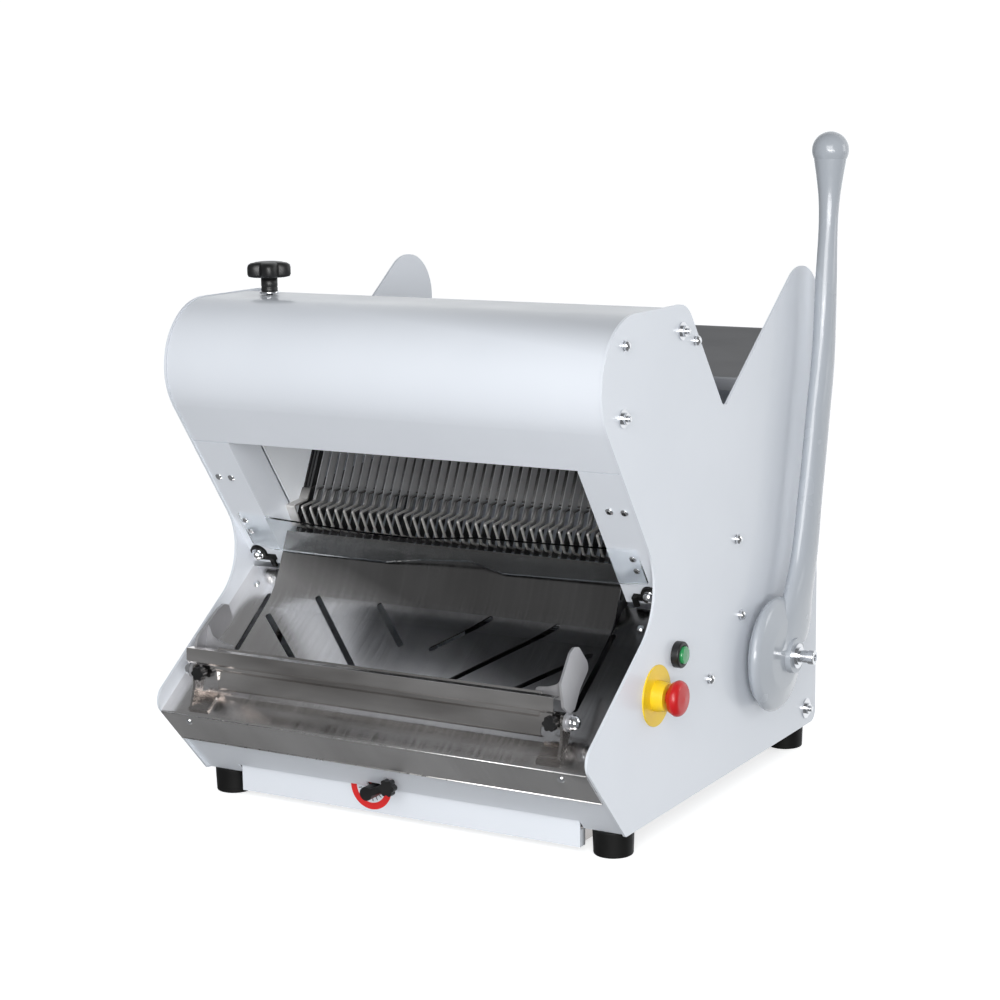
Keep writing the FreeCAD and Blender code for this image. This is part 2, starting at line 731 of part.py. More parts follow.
def guard():
    """Clear guard in front of the lower ends of the blades."""
    near = 1.2 - GUARD_THICK
    points = []
    for x, along in GUARD_CORNERS:
        y, z = column_point(along, near)
        points.append(Vector(x, y, z))
    back = column_point(0, GUARD_THICK)
    origin = column_point(0, 0)
    depth = Vector(0, back[0] - origin[0], back[1] - origin[1])
    plate = Part.Face(Part.makePolygon(points + [points[0]])).extrude(depth)
    shaped("guard", plate)


def feet():
    """Four rubber feet under the base pan."""
    top = size("pan_z") - size("sheet")
    profile = [(0, 0), (size("foot_radius") - 1, 0, 2), (size("foot_radius"), top, 1.5), (0, top)]
    solids = []
    for x in (-FOOT_X, FOOT_X):
        for y in (size("foot_front_y"), size("foot_rear_y")):
            solids.append(revolved(profile, (x, y, 0), (0, 0, 1)))
    shaped("rubber_feet", group(solids))


# --------------------------------------------------------------------------
# Fasteners
# --------------------------------------------------------------------------
def dome_nut(base, axis, across=6.5, high=8):
    """A domed nut on its washer."""
    washer = across * 1.15
    profile = [(0, 0), (washer, 0), (washer, 1.2), (across, 1.2), (across, high * 0.55, 0.4),
               (across * 0.8, high * 0.8, across * 0.4), (across * 0.35, high, 1), (0, high)]
    return revolved(profile, base, axis)


def button_screw(base, axis, radius=4.5, high=2.6):
    """A low round screw head."""
    profile = [(0, 0), (radius, 0), (radius, high * 0.4, 0.5), (radius * 0.6, high, 1), (0, high)]
    return revolved(profile, base, axis)


def stud_nut(base, axis, washer=10, across=6.5, high=10):
    """A stud end with a nut and a wide washer."""
    profile = [(0, 0), (washer, 0), (washer, 1.8), (across, 1.8), (across, high * 0.62, 0.5),
               (across * 0.55, high * 0.62), (across * 0.5, high, 1), (0, high)]
    return revolved(profile, base, axis)


def plate_fasteners():
    """Nuts on the outer faces of both side plates."""
    domes = [(-220, 556), (-50, 544), (61, 303), (72, 211), (-13, 154)]
    studs = [(-84, 558), (-225, 481)]
    solids = []
    for sign in (-1, 1):
        for y, z in domes:
            solids.append(dome_nut((sign * size("half_width"), y, z), (sign, 0, 0), 5.6, 7))
        for y, z in studs:
            solids.append(stud_nut((sign * size("half_width"), y, z), (sign, 0, 0)))
        solids.append(stud_nut((sign * size("half_width"), 272, 50), (sign, 0, 0), 12.5, 7, 9))
    shaped("plate_nuts", group(solids))


def column_normal():
    """Outward direction of the columns' front faces."""
    near = column_point(0, 0)
    far = column_point(0, -1)
    return (0, far[0] - near[0], far[1] - near[1])


SCREW_LINE = INNER - 20


def front_screws():
    """Screws on the columns, the guard and the tray."""
    outward = column_normal()
    front_heads = []
    for sign in (-1, 1):
        for x in (SCREW_LINE - 9, SCREW_LINE + 9):
            y, z = column_point(126, 1.2)
            front_heads.append(button_screw((sign * x, y, z), outward))
        for along in (58, 40):
            y, z = column_point(along, 1.2 - GUARD_THICK)
            front_heads.append(button_screw((sign * SCREW_LINE, y, z), outward, 4, 2.4))
    shaped("front_screws", group(front_heads))
    square = (0, -math.sin(SLOPE), math.cos(SLOPE))
    lip = Vector(0, size("tray_lip_y") - size("tray_bend_y"), size("tray_lip_z") - size("tray_bend_z"))
    lip_out = Vector(0, lip.z, -lip.y).normalize()
    heads = []
    for sign in (-1, 1):
        y, z = tray_point(size("tray_length") - size("tray_screw_edge"), 0)
        heads.append(button_screw((sign * SCREW_LINE, y, z), square, 4.2, 2.4))
        spot_y = size("tray_bend_y") + lip.y * 0.24
        spot_z = size("tray_bend_z") + lip.z * 0.24
        heads.append(button_screw((sign * (SCREW_LINE - 14), spot_y, spot_z), tuple(lip_out),
                                  4.2, 2.4))
    shaped("tray_screws", group(heads))


def guard_clamps():
    """Dome bolts over rubber hooks at the feet of the columns."""
    outward = column_normal()
    thick = 4
    domes = []
    hooks = []
    middle = INNER - 15
    tip = middle - 22
    for sign in (-1, 1):
        y, z = column_point(3, 1.2)
        washer = Part.makeCylinder(10.5, thick, Vector(sign * middle, y, z), Vector(*outward))
        strap = slab([column_point(-7, 1.2), column_point(-7, 1.2 - thick),
                      column_point(0, 1.2 - thick), column_point(0, 1.2)],
                     min(sign * middle, sign * tip), max(sign * middle, sign * tip))
        toe = slab([column_point(-14, 1.2 - thick), column_point(-14, 1.2 - thick - 3),
                    column_point(0, 1.2 - thick - 3), column_point(0, 1.2 - thick)],
                   min(sign * (tip + 6), sign * tip), max(sign * (tip + 6), sign * tip))
        hooks.append(washer.fuse([strap, toe]).removeSplitter())
        y, z = column_point(3, 1.2 - thick)
        domes.append(dome_nut((sign * middle, y, z), outward, 6.5, 9))
    shaped("column_hooks", group(hooks))
    shaped("column_bolts", group(domes))


# --------------------------------------------------------------------------
# Blade frames
# --------------------------------------------------------------------------
def leaning_block(along_start, along_end, across_start, across_end, x_start, x_end):
    """A block in the leaning frame of the blades."""
    outline = [blade_point(along_start, across_start), blade_point(along_start, across_end),
               blade_point(along_end, across_end), blade_point(along_end, across_start)]
    return slab(outline, x_start, x_end)


SIDE_BAR_LOW = -158


def side_bar_place(front, sign):
    """Start of a frame's side bar along X; the two frames swap places from side to side."""
    inner = FRAME_HALF
    outer = inner + size("side_bar") + size("side_bar_gap")
    place = inner if front == (sign < 0) else outer
    return sign * place


def blade_frame(label, front):
    """One frame, welded from bars: a lower and an upper beam joined by two side bars. The
    beams of the front frame lie before the blades, those of the rear frame behind them."""
    sign = -1 if front else 1
    near = sign * (size("beam_offset") - size("beam_thick") / 2)
    far = sign * (size("beam_offset") + size("beam_thick") / 2)
    low_side, high_side = min(near, far), max(near, far)
    half = FRAME_HALF
    wide = size("side_bar_width") / 2
    parts = []
    for level in (size("lower_beam"), size("upper_beam")):
        low = level - size("beam_high") / 2
        high = level + size("beam_high") / 2
        parts.append(leaning_block(low, high, low_side, high_side, -half, half))
    for hand in (-1, 1):
        start = side_bar_place(front, hand)
        end = start + hand * size("side_bar")
        x_low, x_high = min(start, end), max(start, end)
        top = size("upper_beam") + size("beam_high") / 2
        low_end = SIDE_BAR_LOW if front == (hand < 0) else size("lower_beam") - 8
        parts.append(leaning_block(low_end, top, -wide, wide, x_low, x_high))
        for level in (size("lower_beam"), size("upper_beam")):
            low = level - size("beam_high") / 2
            high = level + size("beam_high") / 2
            lug = (wide, high_side) if sign > 0 else (low_side, -wide)
            parts.append(leaning_block(low, high, lug[0], lug[1], x_low, x_high))
            if abs(start) > half:
                gap = (min(hand * half, start), max(hand * half, start))
                parts.append(leaning_block(low, high, low_side, high_side, gap[0], gap[1]))
    shaped(label, group(parts))


def blades(label, front):
    """The blades of one frame: every second place of the row. Each blade is hooked to its
    beams by a tab at both ends."""
    sign = -1 if front else 1
    half = size("blade_width") / 2
    reach = sign * (size("beam_offset") - size("beam_thick") / 2)
    tab = size("beam_high") / 2
    low = size("lower_beam")
    high = size("upper_beam")
    solids = []
    for index in range(BLADE_PAIRS):
        place = 2 * index + (0 if front else 1)
        x = (place - (2 * BLADE_PAIRS - 1) / 2) * size("blade_pitch")
        outline = [
            blade_point(low - tab, -sign * half), blade_point(low - tab, reach),
            blade_point(low + tab, reach), blade_point(low + tab, sign * half),
            blade_point(high - tab, sign * half), blade_point(high - tab, reach),
            blade_point(high + tab, reach), blade_point(high + tab, -sign * half),
        ]
        solids.append(slab(outline, x - size("blade_gauge") / 2, x + size("blade_gauge") / 2))
    shaped(label, group(solids))


def guide_rails():
    """Rails on the cheeks, beside the frames' side bars."""
    outer = FRAME_HALF + 2 * size("side_bar") + size("side_bar_gap") + size("fit_gap")
    cheek = INNER - size("column_face")
    rail = leaning_block(-48, 108, -8, 8, outer, cheek)
    shaped("guide_rails", group(mirrored_pair(rail)))


# --------------------------------------------------------------------------
# Drive
# --------------------------------------------------------------------------
def crank_centre():
    """Axis of the crank shaft, on the line of the blade frames."""
    return blade_point(size("crank_line"), 0)


DISC_THICK = 7


def crank_shaft():
    """Crank shaft with an overhung disc and pin at both ends, half a turn apart."""
    y, z = crank_centre()
    disc_start = FRAME_HALF - 1.5 - DISC_THICK
    shaft = bar_x(-disc_start, disc_start, y, z, size("crank_shaft"))
    parts = []
    for sign, across in ((-1, -1), (1, 1)):
        begin = min(sign * disc_start, sign * (disc_start + DISC_THICK))
        parts.append(bar_x(begin, begin + DISC_THICK, y, z, size("disc_radius")))
        pin_y, pin_z = blade_point(size("crank_line"), across * size("crank_radius"))
        outer = disc_start + DISC_THICK
        pin_begin = min(sign * outer, sign * (outer + 1.0))
        parts.append(bar_x(pin_begin, pin_begin + 1.0, pin_y, pin_z, 6))
    shaped("crank_shaft", shaft.fuse(parts).removeSplitter())


def con_rods():
    """Connecting rods from the side bars down to the crank pins."""
    for label, front, sign in (("con_rod_front", True, -1), ("con_rod_rear", False, 1)):
        start = side_bar_place(front, sign)
        end = start + sign * size("side_bar")
        x_low, x_high = min(start, end), max(start, end)
        pin = blade_point(size("crank_line"), sign * size("crank_radius"))
        top = blade_point(SIDE_BAR_LOW - 12, 0)
        run = Vector(0, top[0] - pin[0], top[1] - pin[1])
        side = Vector(0, -run.z, run.y).normalize() * 5
        corners = []
        for base, shift in ((pin, side), (top, side), (top, side * -1), (pin, side * -1)):
            corners.append((base[0] + shift.y, base[1] + shift.z))
        web = slab(corners, x_low, x_high)
        eye = bar_x(x_low, x_high, pin[0], pin[1], 12)
        end_block = leaning_block(SIDE_BAR_LOW - 14, SIDE_BAR_LOW, -size("side_bar_width") / 2,
                                  size("side_bar_width") / 2, x_low, x_high)
        bore = bar_x(x_low - 1, x_high + 1, pin[0], pin[1], 6.05)
        rod = web.fuse([eye, end_block]).cut(bore).removeSplitter()
        shaped(label, rod)


def pulley_profile(radius, width):
    """Half section of a grooved pulley about its own axis, from z = 0."""
    rim = radius + 3
    return [(0, 0), (rim, 0), (rim, 2), (radius, 3), (radius, width + 1), (rim, width + 2),
            (rim, width + 4), (0, width + 4)]


def drive():
    """Motor, pulleys and belt."""
    y, z = crank_centre()
    wide = size("belt_width")
    belt_start = size("belt_x") - wide / 2 - 2
    driven = revolved(pulley_profile(size("driven_radius"), wide), (belt_start, y, z), (1, 0, 0))
    shaft_hole = bar_x(belt_start - 1, belt_start + wide + 6, y, z, size("crank_shaft"))
    shaped("driven_pulley", driven.cut(shaft_hole))
    motor_y, motor_z = size("motor_y"), size("motor_z")
    small = revolved(pulley_profile(size("motor_pulley_radius"), wide),
                     (belt_start, motor_y, motor_z), (1, 0, 0))
    motor_start = belt_start + wide + 12
    spindle = bar_x(belt_start + wide + 4, motor_start + 20, motor_y, motor_z, 9)
    shaped("motor_pulley", small.fuse(spindle))
    motor_end = motor_start + size("motor_long")
    body = bar_x(motor_start, motor_end, motor_y, motor_z, size("motor_radius"))
    fan = bar_x(motor_end, motor_end + size("fan_long"), motor_y, motor_z,
                size("motor_radius") - 4)
    nose = bar_x(motor_start, motor_start + 22, motor_y, motor_z, 9.4)
    flange = block(motor_start + 20, motor_end - 10, motor_y - 48, motor_y + 48,
                   size("pan_z"), motor_z - 30)
    shaped("motor", body.fuse([fan, flange]).cut(nose))
    belt(belt_start + 3.2, wide - 2.4, Vector(0, y, z), Vector(0, motor_y, motor_z))


def belt(x_start, wide, driven, motor):
    """Belt around both pulleys with a running gap."""
    gap = 0.3
    inner = hull_of_two(driven, size("driven_radius") + gap, motor,
                        size("motor_pulley_radius") + gap, x_start, wide)
    outer = hull_of_two(driven, size("driven_radius") + gap + size("belt_thick"), motor,
                        size("motor_pulley_radius") + gap + size("belt_thick"), x_start, wide)
    shaped("drive_belt", outer.cut(inner))


def hull_of_two(first, first_radius, second, second_radius, x_start, wide):
    """A prism around two circles joined by their outer tangents."""
    run = Vector(0, second.y - first.y, second.z - first.z)
    distance = run.Length
    angle = math.acos((first_radius - second_radius) / distance)
    base = math.atan2(run.z, run.y)
    corners = []
    for centre, radius, turn in ((first, first_radius, angle), (second, second_radius, angle),
                                 (second, second_radius, -angle), (first, first_radius, -angle)):
        corners.append((centre.y + radius * math.cos(base + turn),
                        centre.z + radius * math.sin(base + turn)))
    web = slab(corners, x_start, x_start + wide)
    return web.fuse([bar_x(x_start, x_start + wide, first.y, first.z, first_radius),
                     bar_x(x_start, x_start + wide, second.y, second.z, second_radius)])


def crank_beam():
    """Cross beam between the side plates with two bearing blocks for the crank shaft."""
    y, z = crank_centre()
    running = size("crank_shaft") + 0.05
    beam = block(-INNER, INNER, y - 16, y + 16, z - 40, z - 30)
    window = block(size("belt_x") - 16, size("belt_x") + 16, y - 17, y + 17, z - 41, z - 29)
    blocks = []
    for x in (-120, 110):
        pillar = block(x - 12, x + 12, y - 16, y + 16, z - 30, z + 8)
        ring = bar_x(x - 12, x + 12, y, z, 18)
        blocks.append(pillar.fuse(ring).cut(bar_x(x - 13, x + 13, y, z, running)))
    lower = block(size("belt_x") - 30, size("belt_x") + 30, y - 16, y + 16, z - 58, z - 53)
    links = []
    for x in (size("belt_x") - 30, size("belt_x") + 22):
        links.append(block(x, x + 8, y - 16, y + 16, z - 56, z - 30))
    shaped("crank_beam", beam.cut(window).fuse([lower] + links + blocks).removeSplitter())


# --------------------------------------------------------------------------
# Lever and pusher
# --------------------------------------------------------------------------
LEVER_SECTIONS = [
    # (z, y of the centre, thickness along X, width along Y)
    (160, 158, 24, 92), (205, 180, 25, 76), (240, 195, 26, 62), (270, 206, 26, 54),
    (315, 216, 26, 48), (365, 228, 26, 45), (430, 242, 26, 44), (490, 255, 26, 40),
    (545, 260, 25.5, 34), (595, 263, 25, 29), (650, 267, 23, 23), (690, 269.5, 27, 27),
    (715, 270.5, 34, 34), (735, 271.3, 40, 40),
]
BALL_Z = 740
BALL_Y = 271.5


def lever():
    """Cast hand lever: a broad hub, a slightly cranked arm and a ball grip."""
    wires = []
    for z, y, thick, wide in LEVER_SECTIONS:
        major, minor = max(thick, wide) / 2, min(thick, wide) / 2
        ellipse = Part.Ellipse(Vector(0, 0, 0), major, minor)
        wire = Part.Wire(ellipse.toShape())
        turn = Rotation(Vector(0, 0, 1), 90) if wide >= thick else Rotation()
        wire.Placement = Placement(Vector(LEVER_X, y, z), turn)
        wires.append(wire)
    arm = Part.makeLoft(wires, True, False)
    ball = Part.makeSphere(22, Vector(LEVER_X, BALL_Y, BALL_Z))
    hub_x = size("half_width") + 9
    profile = [(0, 0), (62, 0, 3), (70, 8, 5), (66, 15, 10), (40, 22, 20), (0, 24)]
    hub = revolved(profile, (hub_x, size("pivot_y") - 14, size("pivot_z") + 3), (1, 0, 0))
    boss = bar_x(hub_x - 6, hub_x + 30, size("pivot_y"), size("pivot_z"), 21)
    shaft_bore = bar_x(hub_x - 8, hub_x + 32, size("pivot_y"), size("pivot_z"),
                       size("shaft_radius"))
    shape = arm.fuse([ball, hub, boss]).cut(shaft_bore)
    shaped("lever", shape.removeSplitter())


def lever_shaft():
    """Through shaft that joins the lever to the pusher arms."""
    left = -size("half_width") - 6
    length = "2 * sizes.half_width + 45"
    cylinder("lever_shaft", "sizes.shaft_radius", length, (left, size("pivot_y"), size("pivot_z")),
             Rotation(Vector(0, 1, 0), 90))
    end = left + 2 * size("half_width") + 45
    profile = [(0, 0), (15, 0), (15, 2.5), (11, 2.5), (11, 5), (7.5, 5), (7.5, 16), (8.5, 16),
               (8.5, 23, 1), (4, 23), (4, 19), (0, 19)]
    shaped("lever_bolt", revolved(profile, (end, size("pivot_y"), size("pivot_z")), (1, 0, 0)))


def shaft_bushes():
    """Flanged bushes for the lever shaft in both side plates."""
    running = size("shaft_radius") + 0.05
    solids = []
    for sign in (-1, 1):
        outside = size("half_width") + 2.5
        inside = INNER - 14
        low, high = min(sign * inside, sign * outside), max(sign * inside, sign * outside)
        barrel = bar_x(low, high, size("pivot_y"), size("pivot_z"), BUSH_RADIUS - 0.05)
        flange_low = min(sign * size("half_width"), sign * outside)
        flange = bar_x(flange_low, flange_low + 2.5, size("pivot_y"), size("pivot_z"),
                       BUSH_RADIUS + 5)
        collar_low = min(sign * (INNER - 4), sign * INNER)
        collar = bar_x(collar_low, collar_low + 4, size("pivot_y"), size("pivot_z"),
                       BUSH_RADIUS + 8)
        bore = bar_x(low - 1, high + 1, size("pivot_y"), size("pivot_z"), running)
        solids.append(barrel.fuse([flange, collar]).cut(bore))
    shaped("shaft_bushes", group(solids))


ROLLER = 9


def pusher_arms():
    """Two arms on the shaft with rollers that press the pusher forward."""
    back = math.radians(size("arm_back"))
    top_y = size("pivot_y") + size("arm_length") * math.sin(back)
    top_z = size("pivot_z") + size("arm_length") * math.cos(back)
    low = ARM_X
    high = low + size("arm_thick")
    run = Vector(0, top_y - size("pivot_y"), top_z - size("pivot_z"))
    side = Vector(0, -run.z, run.y).normalize()
    corners = []
    for y, z, shift in ((size("pivot_y"), size("pivot_z"), 13), (top_y, top_z, 7),
                        (top_y, top_z, -7), (size("pivot_y"), size("pivot_z"), -13)):
        corners.append((y + side.y * shift, z + side.z * shift))
    web = slab(corners, low, high)
    hub = bar_x(low - 5, high + 5, size("pivot_y"), size("pivot_z"), 24)
    roller = bar_x(low, high, top_y, top_z, ROLLER)
    bore = bar_x(low - 6, high + 6, size("pivot_y"), size("pivot_z"), size("shaft_radius"))
    arm = web.fuse([hub, roller]).cut(bore)
    shaped("pusher_arms", group(mirrored_pair(arm)))


def pusher_front():
    """(y, z) where the pusher's face meets the bed at rest."""
    y = size("blade_y") + size("pusher_rest")
    return (y, bed_z(y) + 2)


def pusher_place(along, across):
    """A point in (y, z) on the pusher, parallel to the blades."""
    y, z = pusher_front()
    return (y + along * math.sin(LEAN) + across * math.cos(LEAN),
            z + along * math.cos(LEAN) - across * math.sin(LEAN))


def pusher():
    """Pusher comb: a leaning plate with a finger welded on for each gap between the blades."""
    half = FRAME_HALF - 3
    plate = slab([pusher_place(0, 0), pusher_place(0, 3), pusher_place(size("pusher_high"), 3),
                  pusher_place(size("pusher_high"), 0)], -half, half)
    fingers = []
    reach = -size("finger_deep")
    outline = [pusher_place(10, reach), pusher_place(3, reach + 6), pusher_place(3, 0),
               pusher_place(size("pusher_high") - 4, 0), pusher_place(size("pusher_high") - 10, reach)]
    places = 2 * BLADE_PAIRS - 1
    for index in range(places):
        x = (index - (places - 1) / 2) * size("blade_pitch")
        fingers.append(slab(outline, x - size("finger_wide") / 2, x + size("finger_wide") / 2))
    shaped("pusher_comb", group([plate] + fingers))


BAR_MIDDLE = 60


def pusher_carriage():
    """Cross bar behind the comb with sliding blocks on the rails and a drop plate for each
    arm's roller."""
    bar_low = BAR_MIDDLE - 10
    bar_high = BAR_MIDDLE + 10
    reach = RAIL_X + 10
    bar = slab([pusher_place(bar_low, 3), pusher_place(bar_low, 13), pusher_place(bar_high, 13),
                pusher_place(bar_high, 3)], -reach, reach)
    centre_y, centre_z = pusher_place(BAR_MIDDLE, 8)
    parts = [bar]
    cuts = []
    for sign in (-1, 1):
        x_low = min(sign * (RAIL_X - 10), sign * (RAIL_X + 10))
        parts.append(block(x_low, x_low + 20, centre_y - 18, centre_y + 18,
                           size("rail_z") - 14, size("rail_z") + 28))
        drop_low = min(sign * (ARM_X - 2), sign * (ARM_X + size("arm_thick") + 2))
        drop_y, drop_z = drop_place()
        parts.append(block(drop_low, drop_low + size("arm_thick") + 4, drop_y - 4, drop_y, drop_z,
                           centre_z + 4))
        parts.append(block(drop_low, drop_low + size("arm_thick") + 4, centre_y - 6, drop_y,
                           centre_z - 4, centre_z + 4))
        cuts.append(rail_bar(sign, size("rail_radius") + 0.05, 30))
    carriage = parts[0].fuse(parts[1:]).cut(cuts).removeSplitter()
    shaped("pusher_carriage", carriage)


ROLLER_LEAD = 7


def drop_place():
    """(y, z) of the lower edge of the face that the roller presses, with the lead that the
    open link needs."""
    back = math.radians(size("arm_back"))
    y = size("pivot_y") + size("arm_length") * math.sin(back) - ROLLER - ROLLER_LEAD
    swung = math.radians(size("lever_swing")) - back
    sunk = size("pusher_travel") * math.sin(BED)
    return (y, size("pivot_z") + size("arm_length") * math.cos(swung) + sunk - ROLLER - 1)


RAIL_FRONT = -62
RAIL_REAR = 236


def rail_bar(sign, radius, extra=0):
    """A round bar on the pusher's path, parallel to the bed."""
    centre_y = pusher_place(BAR_MIDDLE, 8)[0]
    start_y = RAIL_FRONT - extra
    end_y = RAIL_REAR + extra
    start = Vector(sign * RAIL_X, start_y,
                   size("rail_z") + (start_y - centre_y) * math.tan(BED))
    end = Vector(sign * RAIL_X, end_y,
                 size("rail_z") + (end_y - centre_y) * math.tan(BED))
    run = end - start
    return Part.makeCylinder(radius, run.Length, start, run)


def pusher_rails():
    """Round rails held by blocks on the side plates."""
    solids = []
    for sign in (-1, 1):
        rail = rail_bar(sign, size("rail_radius"))
        mounts = []
        centre_y = pusher_place(BAR_MIDDLE, 8)[0]
        for y in (RAIL_FRONT + 5, RAIL_REAR - 5):
            z = size("rail_z") + (y - centre_y) * math.tan(BED)
            x_low = min(sign * (RAIL_X - 9), sign * INNER)
            x_high = max(sign * (RAIL_X - 9), sign * INNER)
            mounts.append(block(x_low, x_high, y - 6, y + 6, z - 12, z + 12))
        solids.append(rail.fuse(mounts).removeSplitter())
    shaped("pusher_rails", group(solids))


# --------------------------------------------------------------------------
# Controls
# --------------------------------------------------------------------------
def controls():
    """Start button, emergency stop and the contact blocks behind them."""
    out = size("half_width")
    y, z = size("start_y"), size("start_z")
    head = size("start_radius")
    bezel = [(9.2, -16), (10.8, -16), (10.8, 0), (head, 0), (head, 9, 2), (10.2, 9, 1), (10.2, 1),
             (9.2, 1)]
    shaped("start_bezel", revolved(bezel, (out, y, z), (1, 0, 0)))
    lens = [(0, -12), (8.9, -12), (8.9, 5.2), (9.9, 5.2), (9.9, 12, 2), (0, 12.6)]
    shaped("start_button", revolved(lens, (out, y, z), (1, 0, 0)))
    y, z = size("estop_y"), size("estop_z")
    plate = [(8.2, -16), (10.8, -16), (10.8, 0), (size("estop_plate_radius"), 0),
             (size("estop_plate_radius"), 1.6, 0.5), (17.5, 1.6), (16, 15, 1), (8.2, 15)]
    shaped("estop_collar", revolved(plate, (out, y, z), (1, 0, 0)))
    head = size("estop_head_radius")
    mushroom = [(0, -12), (7.9, -12), (7.9, 20), (head - 3, 20, 2), (head, 26, 3),
                (head - 1, 33, 7), (0, 35)]
    shaped("estop_button", revolved(mushroom, (out, y, z), (1, 0, 0)))
    boxes = []
    for y, z in ((size("start_y"), size("start_z")), (size("estop_y"), size("estop_z"))):
        boxes.append(block(INNER - 40, INNER - 13, y - 15, y + 15, z - 20, z + 20))
    shaped("contact_blocks", group(boxes))


def hood_knob():
    """Star knob and screw that hold the hood's inner end stop."""
    top = size("top_z") - size("skin_gap")
    neck, head = size("knob_neck"), size("knob_head")
    under, high = size("knob_under"), size("knob_high")
    profile = [(0, -18), (KNOB_STEM, -18), (KNOB_STEM, 1.2), (neck + 2, 1.2), (neck + 2, 4),
               (neck, 4), (neck, under), (head - 3, under, 2), (head, under + 4, 3),
               (head, high - 5, 4), (head - 8, high - 1, 4), (0, high)]
    base = Vector(size("knob_x"), size("knob_y"), top)
    turned("hood_knob", profile, Placement(base, Rotation()))


# --------------------------------------------------------------------------
# Bag holder
# --------------------------------------------------------------------------
def bag_holder():
    """Hinged bag holder: brackets on the tray, a folded plate, a clamp bar and two wings."""
    axis_y, axis_z = size("bag_axis_y"), size("bag_axis_z")
    foot = tray_point(10, 0.02)
    foot_end = tray_point(34, 0.02)
    hold = BAG_X
    bracket = slab([foot, foot_end, (axis_y + 9, axis_z - 12), (axis_y + 9, axis_z + 8, 4),
                    (axis_y - 9, axis_z + 8, 4), (axis_y - 9, axis_z - 16)], hold, hold + 3)
    tab = slab([tray_point(8, 0.02), tray_point(36, 0.02), tray_point(36, 2.5), tray_point(8, 2.5)],
               hold - 24, hold + 3)
    bore = bar_x(hold - 1, hold + 4, axis_y, axis_z, 4.05)
    bracket = bracket.fuse(tab).cut(bore).removeSplitter()
    shaped("bag_brackets", group(mirrored_pair(bracket)))
    bar_y, bar_z = size("bag_bar_y"), size("bag_bar_z")
    plate_y = axis_y + 1
    fold = [(plate_y + 3, axis_z - 20), (plate_y - 2, axis_z - 17, 1.5), (plate_y, axis_z + 2, 1.5),
            (plate_y - 5, axis_z + 6, 1.5), (plate_y - 5, axis_z + 22, 1.5), (plate_y + 2, axis_z + 28)]
    leaf = slab(folded(fold, size("skin")), -BAG_PLATE_HALF, BAG_PLATE_HALF)
    ears = []
    for sign in (-1, 1):
        start = min(sign * (BAG_PLATE_HALF - 0.5), sign * (hold - 0.4))
        end = max(sign * (BAG_PLATE_HALF - 0.5), sign * (hold - 0.4))
        ears.append(slab([(plate_y - 5, axis_z - 8), (plate_y + 6, axis_z - 8),
                          (plate_y + 6, axis_z + 8), (plate_y - 5, axis_z + 8)], start, end))
        pin_start = min(sign * (hold - 0.4), sign * (hold + 10))
        ears.append(bar_x(pin_start, pin_start + 10.4, axis_y, axis_z, 4))
    shaped("bag_plate", leaf.fuse(ears).removeSplitter())
    lip = [(bar_y + 12, bar_z - 1), (bar_y, bar_z, 1.5), (bar_y, bar_z - 15, 1.2),
           (bar_y + 3, bar_z - 18)]
    clamp = slab(folded(lip, size("skin")), -BAG_X, BAG_X)
    posts = []
    for sign in (-1, 1):
        x = sign * (BAG_PLATE_HALF - 6)
        posts.append(block(x - 4, x + 4, bar_y + 0.5, plate_y - 5 - size("skin"), bar_z - 13,
                           bar_z - 7))
    shaped("bag_clamp_bar", clamp.fuse(posts).removeSplitter())
    wings(hold, axis_y, axis_z)
    knobs = []
    domes = []
    for sign in (-1, 1):
        knobs.append(star_knob(Vector(sign * (hold - 9), plate_y - 5, axis_z), (0, -1, 0), 8.4, 13))
        domes.append(dome_nut((sign * (hold + 10), axis_y, axis_z), (sign, 0, 0), 7.5, 9))
    shaped("bag_knobs", group(knobs))
    shaped("bag_domes", group(domes))


def wing_tail(sign, root, base_z):
    """The low foot of a wing that runs in behind the clamp bar; root is where the leaf's
    inner face starts."""
    lean = math.tan(math.radians(size("wing_lean")))
    outline = [(10 * lean - 1.5, 10), (34, 12), (44, 16, 3), (44, 22, 4), (30, 23.5),
               (16, 28, 14), (46 * lean, 44), (46 * lean - 1.5, 46)]
    edges = rounded([(root - sign * point[0], base_z + point[1]) + tuple(point[2:])
                     for point in outline])
    face = Part.Face(Part.Wire([edge.toShape() for edge in edges]))
    face.Placement = Placement(Vector(0, size("bag_axis_y") + 14.5, 0),
                               Rotation(Vector(1, 0, 0), 90))
    return face.extrude(Vector(0, -2.5, 0))


def wings(hold, axis_y, axis_z):
    """Leaves that turn on the holder's pins and keep the bag open; above its eye each leaf
    leans in towards the tray."""
    high = size("wing_high")
    thick = 3
    outline = [(2, 0), (13, 2), (33, 20, 12), (62, 38, 10), (47, high - 2, 6), (37, high, 5),
               (27, high - 4, 6), (14, high - 15, 10), (-4, 34, 8), (-8, 9)]
    for hand, sign in (("left", -1), ("right", 1)):
        inner = sign * (hold + thick + 0.4)
        outer = inner + sign * thick
        eye = bar_x(min(inner, outer), max(inner, outer), axis_y, axis_z, 10)
        boss_end = outer + sign * 3.2
        boss = bar_x(min(outer, boss_end), max(outer, boss_end), axis_y, axis_z, 8)
        bore = bar_x(min(inner, boss_end) - 1, max(inner, boss_end) + 1, axis_y, axis_z, 4.05)
        points = [(axis_y + y, z) + tuple(rest) for y, z, *rest in outline]
        leaf = slab(points, min(0, sign * thick), max(0, sign * thick))
        turn = Rotation(Vector(0, 1, 0), -sign * size("wing_lean"))
        leaf.Placement = Placement(Vector(inner, 0, axis_z + 8), turn)
        tail = wing_tail(sign, inner, axis_z + 8)
        shaped("bag_wing_" + hand, leaf.fuse([eye, boss, tail]).cut(bore).removeSplitter())


